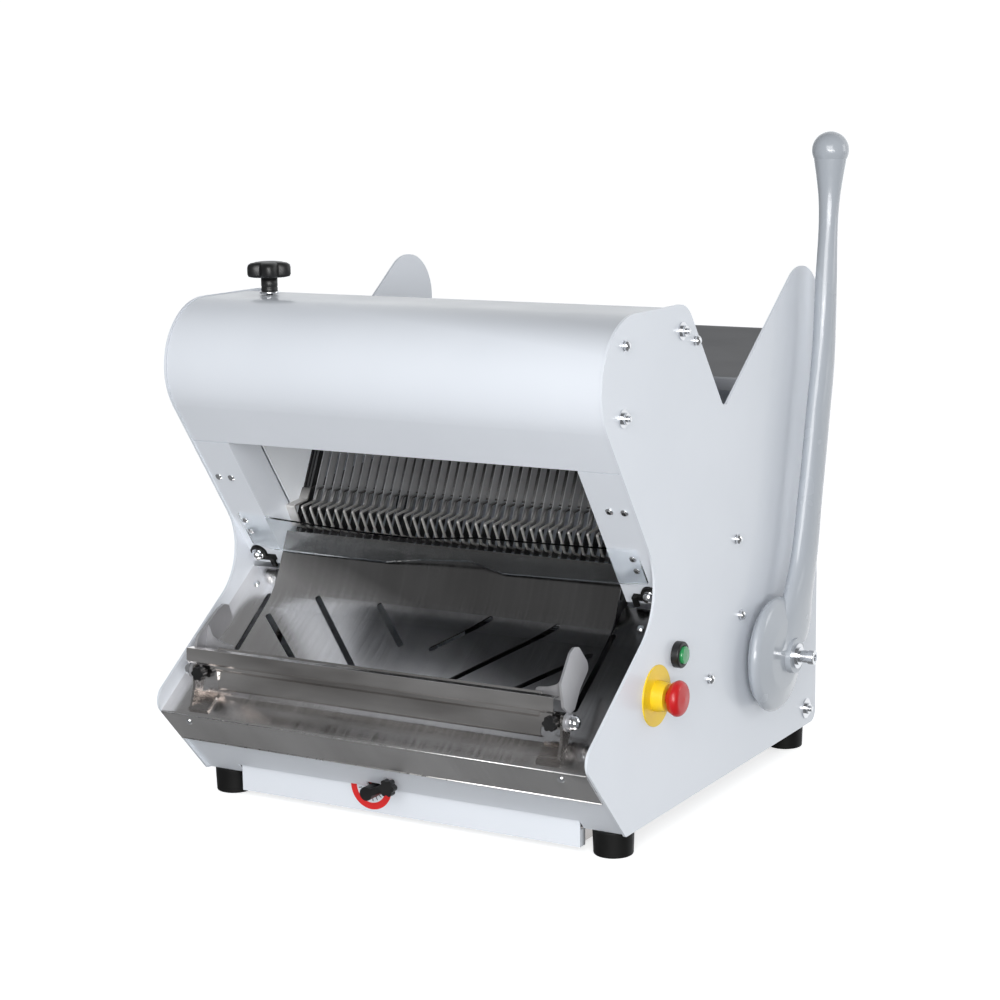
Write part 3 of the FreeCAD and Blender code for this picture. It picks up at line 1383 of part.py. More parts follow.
def star_knob(base, axis, radius, high):
    """A lobed knob on a short neck."""
    neck = Part.makeCylinder(radius * 0.45, high * 0.4, base, Vector(*axis))
    head_base = base + Vector(*axis) * (high * 0.35)
    core = Part.makeCylinder(radius * 0.8, high * 0.65, head_base, Vector(*axis))
    lobes = []
    turn = Rotation(Vector(0, 0, 1), Vector(*axis))
    for index in range(6):
        angle = index * math.pi / 3
        shift = turn.multVec(Vector(radius * 0.68 * math.cos(angle), radius * 0.68 * math.sin(angle), 0))
        lobes.append(Part.makeCylinder(radius * 0.32, high * 0.65, head_base + shift, Vector(*axis)))
    return core.fuse(lobes + [neck]).removeSplitter()


# --------------------------------------------------------------------------
# Crumb drawer
# --------------------------------------------------------------------------
def drawer():
    """Crumb drawer under the base pan: an open tray with a taller face."""
    front = size("plate_front") - 1.6
    back = front + size("drawer_depth")
    wall = size("drawer_wall")
    low = size("drawer_face_bottom") + 2
    high = size("pan_z") - size("sheet") - 1.4
    half = DRAWER_HALF - 8
    tray_box = block(-half, half, front + 1, back, low, high)
    hollow = block(-half + wall, half - wall, front + 2.4, back - wall, low + wall, high + 1)
    face = block(-DRAWER_HALF, DRAWER_HALF, front, front + 1.6,
                 size("drawer_face_bottom"), size("drawer_face_top"))
    return_edge = block(DRAWER_HALF - 1.6, DRAWER_HALF, front, front + 12,
                        size("drawer_face_bottom"), high)
    returns = mirrored_pair(return_edge)
    pivot = Vector(size("latch_x"), front, size("latch_z"))
    spindle_hole = Part.makeCylinder(LATCH_SPINDLE + 0.05, 6, pivot - Vector(0, 2, 0), Vector(0, 1, 0))
    above_face = block(pivot.x - 20, pivot.x + 20, front - 5, front + 5, size("drawer_face_top"),
                       size("drawer_face_top") + 40)
    ear = Part.makeCylinder(LATCH_BOSS, 1.6, pivot, Vector(0, 1, 0)).common(above_face)
    box = tray_box.cut(hollow).fuse([face] + returns).cut(spindle_hole).removeSplitter()
    shaped("crumb_drawer", group(box.Solids + ear.cut(spindle_hole).Solids))
    latch(front)
    runners = []
    for sign in (-1, 1):
        inner = half + 0.5
        outer = half + 2.1
        x_low, x_high = min(sign * inner, sign * outer), max(sign * inner, sign * outer)
        web = block(x_low, x_high, front + 14, back - 6, low - 2, size("pan_z") - size("sheet"))
        shelf_low = min(sign * (half - 7), sign * outer)
        shelf_high = max(sign * (half - 7), sign * outer)
        shelf = block(shelf_low, shelf_high, front + 14, back - 6, low - 2, low - 0.4)
        runners.append(web.fuse(shelf).removeSplitter())
    shaped("drawer_runners", group(runners))


LATCH_SPINDLE = 4
LATCH_LENGTH = 27


def latch(front):
    """Turning latch on the drawer's face: a pivot with a small arm and a star knob, and a
    retaining plate behind the face."""
    x, z = size("latch_x"), size("latch_z")
    out = front - LATCH_LENGTH
    spindle = Part.makeCylinder(LATCH_SPINDLE, LATCH_LENGTH + 4, Vector(x, out, z), Vector(0, 1, 0))
    boss = Part.makeCylinder(LATCH_BOSS, LATCH_LENGTH - 0.4, Vector(x, out, z), Vector(0, 1, 0))
    pivot = spindle.fuse(boss).removeSplitter()
    run = Vector(size("latch_reach"), 0, size("latch_rise"))
    tip = Vector(x, out, z) + run
    run.normalize()
    side = Vector(-run.z, 0, run.x) * 4
    hub = Vector(x, out, z)
    corners = [hub + side, tip + side, tip - side, hub - side]
    arm = Part.Face(Part.makePolygon(corners + [corners[0]])).extrude(Vector(0, 3, 0))
    knob = star_knob(tip, (0, -1, 0), 10, 13)
    cam = block(x - 5, x + 5, front + 2.6, front + 4, z - 5, z + 6)
    parts = [pivot, arm.cut(boss), knob, cam.cut(spindle)]
    shaped("drawer_latch", group([solid for part in parts for solid in part.Solids]))


# --------------------------------------------------------------------------
# Electrical parts
# --------------------------------------------------------------------------
def electrics():
    """Control box inside the base and the cable gland in the back panel."""
    back = size("plate_back") - 1
    deep = back - 20.5
    shaped("control_box", block(-190, -90, deep - 52, deep, size("pan_z"), size("pan_z") + 90))
    profile = [(5, 0), (9, 0), (9, 3), (8, 3), (8, 9, 1), (6, 12), (5, 12)]
    gland = revolved(profile, (-150, back, 66), (0, 1, 0))
    shaped("cable_gland", gland)


# --------------------------------------------------------------------------
# Build, check, write
# --------------------------------------------------------------------------
side_plates()
hood()
chutes()
rear_cover()
base_pan()
front_panel()
columns()
cheeks()
bed_comb()
tray()
guard()
feet()
plate_fasteners()
front_screws()
guard_clamps()
blade_frame("blade_frame_front", True)
blade_frame("blade_frame_rear", False)
blades("blades_front", True)
blades("blades_rear", False)
guide_rails()
crank_shaft()
con_rods()
drive()
crank_beam()
lever()
lever_shaft()
shaft_bushes()
pusher_arms()
pusher()
pusher_carriage()
pusher_rails()
controls()
hood_knob()
bag_holder()
drawer()
electrics()

doc.recompute()

for item in doc.Objects:
    if "Invalid" in item.State or "Error" in item.State:
        raise RuntimeError("%s failed: %s" % (item.Label, item.State))
for item in SUBPARTS:
    if item.Shape.isNull() or not item.Shape.isValid() or not item.Shape.Solids:
        raise RuntimeError("%s has no valid shape" % item.Label)

whole = FreeCAD.BoundBox()
for item in SUBPARTS:
    whole.add(item.Shape.BoundBox)
    item.Shape.exportStep(os.path.join("parts", item.Label + ".step"))
print("%d sub-parts" % len(SUBPARTS))
print("bounding box %s" % whole)
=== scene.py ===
import json
import math

import bmesh
import bpy
from mathutils import Matrix, Vector


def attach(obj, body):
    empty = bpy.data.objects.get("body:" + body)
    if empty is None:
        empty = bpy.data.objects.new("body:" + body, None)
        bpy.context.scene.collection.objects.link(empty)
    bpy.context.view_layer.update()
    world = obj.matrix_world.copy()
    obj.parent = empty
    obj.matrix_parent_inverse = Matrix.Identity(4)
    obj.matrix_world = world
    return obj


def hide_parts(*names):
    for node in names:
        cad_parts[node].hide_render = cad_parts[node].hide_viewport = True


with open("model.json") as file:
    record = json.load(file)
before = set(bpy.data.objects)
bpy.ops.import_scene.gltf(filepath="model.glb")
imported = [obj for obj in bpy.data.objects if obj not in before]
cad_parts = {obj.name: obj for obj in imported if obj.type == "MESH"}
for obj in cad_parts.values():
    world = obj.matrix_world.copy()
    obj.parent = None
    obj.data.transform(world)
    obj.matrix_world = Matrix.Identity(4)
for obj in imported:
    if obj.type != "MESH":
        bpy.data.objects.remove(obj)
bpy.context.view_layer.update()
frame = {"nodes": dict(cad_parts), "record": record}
NODES = frame["nodes"]

# ---------------------------------------------------------------------------
# The machine's own coordinates, in millimetres: x from the middle of the side
# plates, y to the rear, z from the table. SHIFT leads to the frame's origin.
# ---------------------------------------------------------------------------
SHIFT = Vector((26, 2.75, 0))


def at(x, y, z):
    """A point of the machine in the frame, in metres."""
    return (Vector((x, y, z)) - SHIFT) / 1000


# ---------------------------------------------------------------------------
# Camera
# ---------------------------------------------------------------------------
CAMERA_PLACE = (1363.386, -2341.568, 827.184)
CAMERA_RIGHT = Vector((0.86548469, 0.50074105, -0.01395178))
CAMERA_UP = Vector((-0.0773386, 0.16108647, 0.98390543))
CAMERA_LENS = 83.46
SENSOR_WIDTH = 36


def make_camera():
    """The camera in front of the machine, to its right."""
    data = bpy.data.cameras.new("camera")
    data.lens = CAMERA_LENS
    data.sensor_width = SENSOR_WIDTH
    data.clip_end = 50
    camera = bpy.data.objects.new("camera", data)
    bpy.context.scene.collection.objects.link(camera)
    right = CAMERA_RIGHT.normalized()
    back = right.cross(CAMERA_UP).normalized()
    up = back.cross(right)
    turn = Matrix((right, up, back)).transposed()
    camera.matrix_world = Matrix.Translation(at(*CAMERA_PLACE)) @ turn.to_4x4()
    bpy.context.scene.camera = camera


# ---------------------------------------------------------------------------
# Materials
# ---------------------------------------------------------------------------
ALONG_X, ALONG_Y, ALONG_Z = (1, 0, 0), (0, 1, 0), (0, 0, 1)
COAT_ROUGH = 0.08
# The band of a noise field that is spread over the full range of a value.
FIELD_LOW, FIELD_HIGH = 0.3, 0.7
# The colour sockets of a mix node that is set to RGBA.
MIX_FIRST, MIX_SECOND, MIX_RESULT = 6, 7, 2


def start_material(name, color, rough, metal=0.0, coat=0.0):
    """A principled material with its plain values on the shader's own sockets."""
    material = bpy.data.materials.new(name)
    material.use_nodes = True
    shader = material.node_tree.nodes["Principled BSDF"]
    shader.inputs["Base Color"].default_value = (*color, 1)
    shader.inputs["Roughness"].default_value = rough
    shader.inputs["Metallic"].default_value = metal
    shader.inputs["Coat Weight"].default_value = coat
    shader.inputs["Coat Roughness"].default_value = COAT_ROUGH
    return material, material.node_tree, shader


def noise_field(tree, scale, stretch=(1, 1, 1), detail=3.0):
    """Noise over the object's own coordinates."""
    place = tree.nodes.new("ShaderNodeTexCoord")
    mapping = tree.nodes.new("ShaderNodeMapping")
    mapping.inputs["Scale"].default_value = stretch
    noise = tree.nodes.new("ShaderNodeTexNoise")
    noise.inputs["Scale"].default_value = scale
    noise.inputs["Detail"].default_value = detail
    tree.links.new(place.outputs["Object"], mapping.inputs["Vector"])
    tree.links.new(mapping.outputs["Vector"], noise.inputs["Vector"])
    return noise.outputs["Fac"]


def vary_color(tree, shader, field, low, high):
    """Base colour that drifts between two tints."""
    ramp = tree.nodes.new("ShaderNodeValToRGB")
    ramp.color_ramp.elements[0].position = FIELD_LOW
    ramp.color_ramp.elements[1].position = FIELD_HIGH
    ramp.color_ramp.elements[0].color = (*low, 1)
    ramp.color_ramp.elements[1].color = (*high, 1)
    tree.links.new(field, ramp.inputs["Fac"])
    tree.links.new(ramp.outputs["Color"], shader.inputs["Base Color"])


def vary_rough(tree, shader, field, low, high):
    """Roughness that drifts between two values."""
    spread = tree.nodes.new("ShaderNodeMapRange")
    spread.inputs["From Min"].default_value = FIELD_LOW
    spread.inputs["From Max"].default_value = FIELD_HIGH
    spread.inputs["To Min"].default_value = low
    spread.inputs["To Max"].default_value = high
    tree.links.new(field, spread.inputs["Value"])
    tree.links.new(spread.outputs["Result"], shader.inputs["Roughness"])


def add_bump(tree, shader, field, strength, distance):
    """Surface relief from a field."""
    bump = tree.nodes.new("ShaderNodeBump")
    bump.inputs["Strength"].default_value = strength
    bump.inputs["Distance"].default_value = distance
    tree.links.new(field, bump.inputs["Height"])
    tree.links.new(bump.outputs["Normal"], shader.inputs["Normal"])


def shade_along(tree, shader, direction, stops):
    """Paints shade into the base colour along a direction in the object: (place in mm, share)
    stops.
    """
    place = tree.nodes.new("ShaderNodeTexCoord")
    along = tree.nodes.new("ShaderNodeVectorMath")
    along.operation = "DOT_PRODUCT"
    along.inputs[1].default_value = direction
    spread = tree.nodes.new("ShaderNodeMapRange")
    ramp = tree.nodes.new("ShaderNodeValToRGB")
    mix = tree.nodes.new("ShaderNodeMix")
    first, last = stops[0][0], stops[-1][0]
    spread.inputs["From Min"].default_value = first / 1000
    spread.inputs["From Max"].default_value = last / 1000
    points = ramp.color_ramp.elements
    while len(points) < len(stops):
        points.new(0.5)
    for point, (spot, share) in zip(points, stops):
        point.position = (spot - first) / (last - first)
        point.color = (share, share, share, 1)
    mix.data_type = "RGBA"
    mix.blend_type = "MULTIPLY"
    mix.inputs["Factor"].default_value = 1
    tint = shader.inputs["Base Color"].links[0].from_socket
    tree.links.new(place.outputs["Object"], along.inputs[0])
    tree.links.new(along.outputs["Value"], spread.inputs["Value"])
    tree.links.new(spread.outputs["Result"], ramp.inputs["Fac"])
    tree.links.new(tint, mix.inputs[MIX_FIRST])
    tree.links.new(ramp.outputs["Color"], mix.inputs[MIX_SECOND])
    tree.links.new(mix.outputs[MIX_RESULT], shader.inputs["Base Color"])


def paint(name, low, high, rough, coat=0.25):
    """Powder coat: a faint orange peel under a soft gloss."""
    material, tree, shader = start_material(name, low, rough, coat=coat)
    vary_color(tree, shader, noise_field(tree, 6), low, high)
    vary_rough(tree, shader, noise_field(tree, 14), rough - 0.04, rough + 0.06)
    add_bump(tree, shader, noise_field(tree, 900), 0.06, 0.0004)
    return material


def brushed(name, low, high, rough, stretch, metal=1.0, relief=0.08, cloud=14, spread=None):
    """Brushed metal: soft clouds in colour, fine streaks in gloss and relief."""
    material, tree, shader = start_material(name, low, rough, metal=metal)
    streaks = noise_field(tree, 220, stretch, 4.0)
    vary_color(tree, shader, noise_field(tree, cloud, spread or stretch), low, high)
    vary_rough(tree, shader, streaks, rough - 0.05, rough + 0.07)
    add_bump(tree, shader, streaks, relief, 0.0001)
    return material


def shaded(material, direction, stops):
    """The same material with painted shade: darker where the stops say."""
    tree = material.node_tree
    shade_along(tree, tree.nodes["Principled BSDF"], direction, stops)
    return material


def polished(name, color, rough):
    """Bright plated steel with faint handling marks."""
    material, tree, shader = start_material(name, color, rough, metal=1.0)
    vary_rough(tree, shader, noise_field(tree, 200), rough * 0.6, rough * 1.6)
    low = tuple(channel * 0.93 for channel in color)
    vary_color(tree, shader, noise_field(tree, 60), low, color)
    return material


def moulded(name, low, high, rough, grain=400, strength=0.12, coat=0.0, specular=0.5):
    """Moulded plastic or rubber with a fine grain."""
    material, tree, shader = start_material(name, low, rough, coat=coat)
    shader.inputs["Specular IOR Level"].default_value = specular
    vary_color(tree, shader, noise_field(tree, 30), low, high)
    vary_rough(tree, shader, noise_field(tree, 80), rough - 0.05, rough + 0.08)
    add_bump(tree, shader, noise_field(tree, grain), strength, 0.0003)
    return material


def clear_sheet(name):
    """Clear polycarbonate with fine scuffs."""
    material, tree, shader = start_material(name, (0.94, 0.96, 0.97), 0.05)
    shader.inputs["Transmission Weight"].default_value = 1.0
    shader.inputs["IOR"].default_value = 1.2
    vary_rough(tree, shader, noise_field(tree, 40), 0.03, 0.09)
    return material


PAINT_LOW, PAINT_HIGH = (0.72, 0.755, 0.81), (0.75, 0.785, 0.84)
PAINT_ROUGH, PAINT_COAT = 0.32, 0.3
TRAY_RISE = (0.3, 0, 1)
HOOD_RISE = (0.12, 0.3, 1)

# Painted metal
WHITE = paint("white_paint", PAINT_LOW, PAINT_HIGH, PAINT_ROUGH, PAINT_COAT)
CASTING = paint("grey_casting", (0.40, 0.43, 0.47), (0.43, 0.46, 0.50), 0.24, 0.5)
# Painted shade: the hood is the white paint made darker higher up and further back, along
# HOOD_RISE.
HOOD_PAINTED_SHADE = paint("hood_paint_painted_shade", PAINT_LOW, PAINT_HIGH, PAINT_ROUGH, PAINT_COAT)
shaded(HOOD_PAINTED_SHADE, HOOD_RISE, [(300, 1), (500, 1), (535, 0.74), (620, 0.74)])
# Painted light: the cheeks are a lighter copy of the white paint, so the inner walls look lit.
CHEEK_PAINTED_LIGHT = paint("cheek_paint_painted_light", (0.86, 0.89, 0.93), (0.90, 0.93, 0.97), PAINT_ROUGH, PAINT_COAT)
# Painted light and shade: the drawer is a lighter copy of the white paint, and all of it behind
# the face is painted near black.
DRAWER_PAINTED_LIGHT_AND_SHADE = paint("drawer_paint_painted_light_and_shade", (0.76, 0.795, 0.85), (0.79, 0.825, 0.88), PAINT_ROUGH, PAINT_COAT)
shaded(DRAWER_PAINTED_LIGHT_AND_SHADE, ALONG_Y, [(-240, 1), (-222, 1), (-214, 0.07), (60, 0.07)])

# Brushed and polished metal
STAINLESS = brushed("stainless", (0.40, 0.375, 0.36), (0.50, 0.475, 0.46), 0.24, (0.06, 1, 1))
# Painted reflections on the tray: wide clouds from grey to near white, darker towards the right
# and darker again up the shield along TRAY_RISE.
TRAY_PAINTED_REFLECTION = brushed("tray_steel_painted_reflection", (0.60, 0.58, 0.57), (0.99, 0.97, 0.96), 0.20, (1, 0.02, 0.02),
               relief=0.01, cloud=6, spread=(1, 0.6, 0.6))
shaded(TRAY_PAINTED_REFLECTION, ALONG_X, [(-300, 1), (0, 1), (140, 0.8), (260, 0.75)])
shaded(TRAY_PAINTED_REFLECTION, TRAY_RISE, [(80, 1), (178, 1), (222, 0.32), (420, 0.26)])
# Painted shade on the bed: only the front edges of the bars stay bright, the bars behind them are
# painted dark.
BED_PAINTED_SHADE = brushed("bed_steel_painted_shade", (0.60, 0.58, 0.56), (0.70, 0.68, 0.66), 0.34, (1, 0.06, 1), 0.75)
shaded(BED_PAINTED_SHADE, ALONG_Y, [(-130, 1), (-96, 1), (-84, 0.2), (130, 0.26)])
# Painted reflections on the bag holder and clamp bar: wide clouds from dark to near white.
HOLDER_PAINTED_REFLECTION = brushed("holder_steel_painted_reflection", (0.38, 0.36, 0.345), (0.92, 0.89, 0.87), 0.18, (0.02, 1, 1),
                 relief=0.01, cloud=16, spread=(0.3, 1, 1))
WING = brushed("wing_steel", (0.50, 0.50, 0.52), (0.58, 0.58, 0.60), 0.42, (1, 1, 0.08), 0.75)
# Painted shade on the blades: dark below the bed and under the hood, bright only in the band
# between.
BLADE_PAINTED_SHADE = brushed("blade_steel", (0.44, 0.44, 0.45), (0.54, 0.54, 0.55), 0.36, (1, 1, 0.05), 0.6)
shaded(BLADE_PAINTED_SHADE, ALONG_Z, [(240, 0.08), (322, 0.08), (334, 1), (392, 1), (416, 0.16), (520, 0.16)])
CHUTE = brushed("chute_steel", (0.46, 0.46, 0.47), (0.54, 0.54, 0.55), 0.34, (0.06, 1, 1))
DARK_STEEL = brushed("dark_steel", (0.10, 0.10, 0.10), (0.15, 0.15, 0.15), 0.40, (0.1, 1, 1))
IRON = brushed("grey_iron", (0.22, 0.22, 0.23), (0.30, 0.30, 0.31), 0.42, (1, 1, 1))
BRONZE = brushed("bronze", (0.50, 0.33, 0.13), (0.62, 0.43, 0.18), 0.34, (1, 1, 1))
BRIGHT = polished("bright_steel", (0.80, 0.81, 0.83), 0.14)
HEM = polished("hem_steel", (0.86, 0.85, 0.84), 0.32)

# Castings with a grain, rubber and plastic
DARK = moulded("dark_casting", (0.05, 0.055, 0.06), (0.07, 0.075, 0.08), 0.5, 500, 0.25)
RUBBER = moulded("black_rubber", (0.004, 0.004, 0.004), (0.008, 0.008, 0.008), 0.5, 600, 0.2,
                 specular=0.2)
BLACK = moulded("black_plastic", (0.006, 0.006, 0.007), (0.014, 0.014, 0.014), 0.38, 700, 0.12)
CLEAR = clear_sheet("clear_plastic")
GREEN = moulded("green_plastic", (0.02, 0.26, 0.08), (0.03, 0.32, 0.10), 0.18, 300, 0.02, 0.6)
YELLOW = moulded("yellow_plastic", (0.82, 0.56, 0.012), (0.86, 0.61, 0.018), 0.36, 500, 0.05, 0.1)
RED = moulded("red_plastic", (0.50, 0.006, 0.008), (0.58, 0.010, 0.011), 0.34, 300, 0.03, 0.15)
DIAL_RED = moulded("dial_red", (0.70, 0.02, 0.02), (0.76, 0.03, 0.03), 0.4, 500, 0.02)

SLOT_MATERIALS = {
    "white_paint": WHITE, "stainless": STAINLESS, "bright_steel": BRIGHT, "blade_steel": BLADE_PAINTED_SHADE,
    "dark_steel": DARK_STEEL, "grey_iron": IRON, "grey_casting": CASTING, "dark_casting": DARK,
    "bronze": BRONZE, "black_rubber": RUBBER, "black_plastic": BLACK, "clear_plastic": CLEAR,
    "green_plastic": GREEN, "yellow_plastic": YELLOW, "red_plastic": RED,
}
NODE_MATERIALS = {
    # The base pan gets the dark steel as painted shade under the tray's slots.
    "bed_comb": BED_PAINTED_SHADE, "tray": TRAY_PAINTED_REFLECTION, "pusher_comb": DARK_STEEL, "base_pan": DARK_STEEL,
    "bag_plate": HOLDER_PAINTED_REFLECTION, "bag_clamp_bar": HOLDER_PAINTED_REFLECTION, "bag_wing_left": WING, "bag_wing_right": WING,
    "chute_rear": CHUTE, "hood": HOOD_PAINTED_SHADE, "cheek_left": CHEEK_PAINTED_LIGHT, "cheek_right": CHEEK_PAINTED_LIGHT,
    "crumb_drawer": DRAWER_PAINTED_LIGHT_AND_SHADE,
}


def dress_nodes():
    """Gives every carried-over node its own material or that of its slot."""
    slots = {part["node"]: part["material_slot"] for part in frame["record"]["subparts"]}
    for name, item in NODES.items():
        item.data.materials.clear()
        item.data.materials.append(NODE_MATERIALS.get(name, SLOT_MATERIALS[slots[name]]))


BEVEL_ANGLE = 40
# Width in millimetres of the soft edge on each node that shows one.
BEVELS = {
    "side_plate_left": 0.6, "side_plate_right": 0.6, "column_left": 0.4, "column_right": 0.4,
    "crumb_drawer": 0.3, "hood": 0.3, "chute_front": 0.3, "chute_rear": 0.3,
    "tray": 0.5, "bed_comb": 0.25, "bag_plate": 0.5, "bag_clamp_bar": 0.5,
    "bag_wing_left": 0.4, "bag_wing_right": 0.4, "bag_knobs": 0.8, "drawer_latch": 0.8,
}


def soften(item, width):
    """A narrow bevel that catches the light along an edge."""
    bevel = item.modifiers.new("soft_edge", "BEVEL")
    bevel.width = width / 1000
    bevel.segments = 2
    bevel.limit_method = "ANGLE"
    bevel.angle_limit = math.radians(BEVEL_ANGLE)


# ---------------------------------------------------------------------------
# Mesh helpers
# ---------------------------------------------------------------------------
def new_piece(name, mesh, material, body):
    """Links a mesh as a piece that rides on a body."""
    item = bpy.data.objects.new(name, mesh)
    bpy.context.scene.collection.objects.link(item)
    mesh.materials.append(material)
    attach(item, body)
    return item


def finish_mesh(name, shape, smooth=True):
    """Turns a bmesh into a mesh with outward normals."""
    bmesh.ops.recalc_face_normals(shape, faces=shape.faces)
    mesh = bpy.data.meshes.new(name)
    shape.to_mesh(mesh)
    shape.free()
    for face in mesh.polygons:
        face.use_smooth = smooth
    return mesh


def add_ring(shape, radii, height, turn, base):
    """Adds points around an axis, one for each radius, in millimetres."""
    ring = []
    for step, radius in enumerate(radii):
        angle = 2 * math.pi * step / len(radii)
        spot = Vector((radius * math.cos(angle), radius * math.sin(angle), height)) / 1000
        ring.append(shape.verts.new(turn @ spot + base))
    return ring


def close_rings(shape, rings):
    """Joins rings of points into walls and closes both ends."""
    for low, high in zip(rings, rings[1:]):
        for step in range(len(low)):
            after = (step + 1) % len(low)
            shape.faces.new((low[step], low[after], high[after], high[step]))
    shape.faces.new(rings[0][::-1])
    shape.faces.new(rings[-1])


def lathe(shape, profile, base, axis, steps=48):
    """Adds a turned solid: (radius, height) points about an axis, in millimetres."""
    turn = Vector(ALONG_Z).rotation_difference(Vector(axis)).to_matrix()
    rings = []
    for radius, height in profile:
        rings.append(add_ring(shape, [radius] * steps, height, turn, base))
    close_rings(shape, rings)


# ---------------------------------------------------------------------------
# Pieces made here: the star knob, the dial and the hems. Sizes are in millimetres.
# ---------------------------------------------------------------------------
LOBES = 5
LOBE_DEPTH = 0.3
LOBE_CURVE = 0.6
FIRST_LOBE = 18
KNOB_BASE = at(-220, -146, 586)
KNOB_STEM = [(3.9, -18), (3.9, 1.3), (9.6, 1.3), (9.6, 8), (9.2, 8.6), (9.2, 9.4), (9.6, 10),
             (9.6, 20.6)]
KNOB_HEAD = [(11, 20, 0), (20, 20.3, 0.7), (24.6, 21.4, 1), (26, 24, 1), (26, 32, 1),
             (25, 35, 1), (22, 37, 0.9), (12, 38.3, 0.2)]
KNOB_WASHER = [(11, 1.3), (11.6, 1.7), (11.6, 3.6), (11, 4), (9.8, 4)]


def star(shape, levels, base, steps=120):
    """Adds an upright lobed knob: (radius, height, share of the lobes) levels."""
    turn = Matrix.Rotation(math.radians(FIRST_LOBE), 3, "Z")
    waves = []
    for step in range(steps):
        angle = 2 * math.pi * step / steps
        waves.append(0.5 + 0.5 * math.cos(LOBES * angle))
    rings = []
    for radius, height, share in levels:
        radii = [radius * (1 - LOBE_DEPTH * share * (1 - wave ** LOBE_CURVE)) for wave in waves]
        rings.append(add_ring(shape, radii, height, turn, base))
    close_rings(shape, rings)


def hood_knob():
    """The black star knob on the hood, on a stem over a bright washer."""
    knob = bmesh.new()
    lathe(knob, KNOB_STEM, KNOB_BASE, ALONG_Z)
    star(knob, KNOB_HEAD, KNOB_BASE)
    item = new_piece("hood_star_knob", finish_mesh("hood_star_knob", knob), BLACK,
                     "hood_knob_body")
    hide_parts("hood_knob")
    washer = bmesh.new()
    lathe(washer, KNOB_WASHER, KNOB_BASE, ALONG_Z)
    new_piece("hood_knob_washer", finish_mesh("hood_knob_washer", washer), BRIGHT,
              "hood_knob_body")


DIAL_CENTRE = (-44, 39)
DIAL_OUTER = 27.5
DIAL_INNER = 19.5
DIAL_BEGIN, DIAL_END = 158, 354
DIAL_STEPS = 56
EDGE_LINE = 0.7
MARKS = 9
FIRST_MARK, MARK_PITCH = 14, 21
MARK_NEAR, MARK_FAR = DIAL_INNER - 6.5, DIAL_INNER - 2
MARK_HALF = 0.5
DRAWER_FACE = -223.6
DECAL_LIFT = 0.12
TO_REAR = Vector(ALONG_Y)


def dial_spot(radius, degrees):
    """A point on the drawer's face about the latch's pivot, in millimetres."""
    angle = math.radians(degrees)
    return Vector((DIAL_CENTRE[0] + radius * math.cos(angle), DRAWER_FACE - DECAL_LIFT,
                   DIAL_CENTRE[1] + radius * math.sin(angle)))


def dial_ring():
    """A red half ring around the latch's pivot, with a red line from end to end."""
    ring = bmesh.new()
    rows = []
    for step in range(DIAL_STEPS + 1):
        degrees = DIAL_BEGIN + (DIAL_END - DIAL_BEGIN) * step / DIAL_STEPS
        rows.append([ring.verts.new(at(*dial_spot(radius, degrees)))
                     for radius in (DIAL_INNER, DIAL_OUTER)])
    for low, high in zip(rows, rows[1:]):
        ring.faces.new((low[0], low[1], high[1], high[0]))
    begin = dial_spot(DIAL_OUTER, DIAL_BEGIN)
    end = dial_spot(DIAL_OUTER, DIAL_END)
    rise = (end - begin).cross(TO_REAR).normalized() * -EDGE_LINE
    ring.faces.new([ring.verts.new(at(*spot)) for spot in (begin, end, end + rise, begin + rise)])
    new_piece("dial_ring", finish_mesh("dial_ring", ring, smooth=False), DIAL_RED, "drawer")


def dial_marks():
    """Plain marks inside the half ring."""
    marks = bmesh.new()
    for step in range(MARKS):
        degrees = DIAL_BEGIN + FIRST_MARK + MARK_PITCH * step
        near = dial_spot(MARK_NEAR, degrees)
        far = dial_spot(MARK_FAR, degrees)
        across = (far - near).cross(TO_REAR).normalized() * MARK_HALF
        corners = [near + across, far + across, far - across, near - across]
        marks.faces.new([marks.verts.new(at(*corner)) for corner in corners])
    new_piece("dial_marks", finish_mesh("dial_marks", marks, smooth=False), BLACK, "drawer")


HEM_RADIUS = 0.7
HEM_HALF = 276
HEM_STEPS = 16
# The (y, z) place of each hem, which runs from side to side.
HEMS = {"lip_hem": (-270.2, 77.6), "fold_hem": (-305.6, 117.6)}


def hems():
    """Thin rolled edges that catch the light along the tray's lip and fold."""
    profile = [(HEM_RADIUS, 0), (HEM_RADIUS, 2 * HEM_HALF)]
    for name, (y, z) in HEMS.items():
        shape = bmesh.new()
        lathe(shape, profile, at(-HEM_HALF, y, z), ALONG_X, HEM_STEPS)
        new_piece(name, finish_mesh(name, shape), HEM, "housing")


# ---------------------------------------------------------------------------
# Floor, light and background
# ---------------------------------------------------------------------------
FLOOR_REACH = 14
FLOOR_COLOR = (0.86, 0.87, 0.88)
FLOOR_GLOW = 0.66


def stage():
    """A plain white floor that glows a little, as a lit table does."""
    mesh = bpy.data.meshes.new("floor")
    corners = [(-FLOOR_REACH, -FLOOR_REACH, 0), (FLOOR_REACH, -FLOOR_REACH, 0),
               (FLOOR_REACH, FLOOR_REACH, 0), (-FLOOR_REACH, FLOOR_REACH, 0)]
    mesh.from_pydata(corners, [], [(0, 1, 2, 3)])
    floor = bpy.data.objects.new("floor", mesh)
    bpy.context.scene.collection.objects.link(floor)
    material, _, shader = start_material("floor", FLOOR_COLOR, 0.6)
    shader.inputs["Specular IOR Level"].default_value = 0.2
    shader.inputs["Emission Color"].default_value = (1, 1, 1, 1)
    shader.inputs["Emission Strength"].default_value = FLOOR_GLOW
    floor.data.materials.append(material)
    floor.visible_glossy = False
    floor.visible_diffuse = False


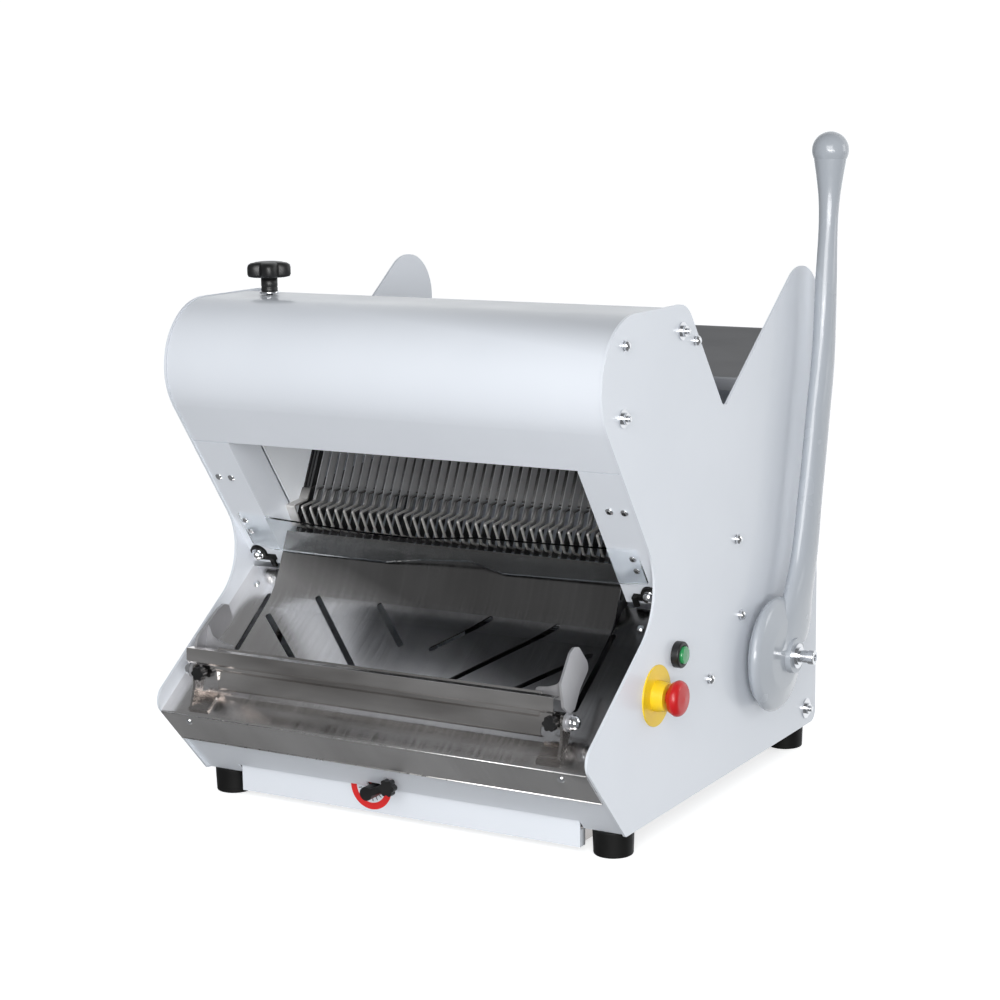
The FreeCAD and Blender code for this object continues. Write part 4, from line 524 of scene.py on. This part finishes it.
SKY_COLOR = (0.96, 0.98, 1.0, 1)
SKY_FRONT = 0.22
SKY_REAR = 1.1
# The share of a direction that points to the rear, where the sky begins and ends to brighten.
SKY_BEGIN, SKY_END = 0.3, 0.75


def sky():
    """A studio that is bright behind the machine and dim in front of it."""
    world = bpy.data.worlds.new("world")
    bpy.context.scene.world = world
    world.use_nodes = True
    tree = world.node_tree
    background = tree.nodes["Background"]
    background.inputs["Color"].default_value = SKY_COLOR
    place = tree.nodes.new("ShaderNodeTexCoord")
    split = tree.nodes.new("ShaderNodeSeparateXYZ")
    spread = tree.nodes.new("ShaderNodeMapRange")
    spread.inputs["From Min"].default_value = SKY_BEGIN
    spread.inputs["From Max"].default_value = SKY_END
    spread.inputs["To Min"].default_value = SKY_FRONT
    spread.inputs["To Max"].default_value = SKY_REAR
    tree.links.new(place.outputs["Generated"], split.inputs["Vector"])
    tree.links.new(split.outputs["Y"], spread.inputs["Value"])
    tree.links.new(spread.outputs["Result"], background.inputs["Strength"])


MIDDLE = (0, 0, 0.35)
LAMPS = [
    # name, place, target, width and height in metres, power in watts
    ("key", (1.3, -3.1, 1.5), MIDDLE, 2.4, 2.0, 72),
    ("side", (3.2, 1.9, 1.2), (0.2, 0, 0.3), 1.2, 1.6, 14),
    ("fill", (2.1, -3.1, 0.5), MIDDLE, 2.8, 0.8, 64),
]


def lights():
    """Soft studio light: a key high at the front, a lamp behind the right side and a fill."""
    for name, place, target, width, height, power in LAMPS:
        data = bpy.data.lights.new(name, "AREA")
        data.shape = "RECTANGLE"
        data.size = width
        data.size_y = height
        data.energy = power
        lamp = bpy.data.objects.new(name, data)
        bpy.context.scene.collection.objects.link(lamp)
        lamp.location = place
        aim = Vector(target) - Vector(place)
        lamp.rotation_euler = aim.to_track_quat("-Z", "Y").to_euler()


make_camera()
dress_nodes()
for node_name, bevel_width in BEVELS.items():
    soften(NODES[node_name], bevel_width)
hood_knob()
dial_ring()
dial_marks()
hems()
stage()
sky()
lights()
bpy.context.scene.view_settings.view_transform = "Standard"
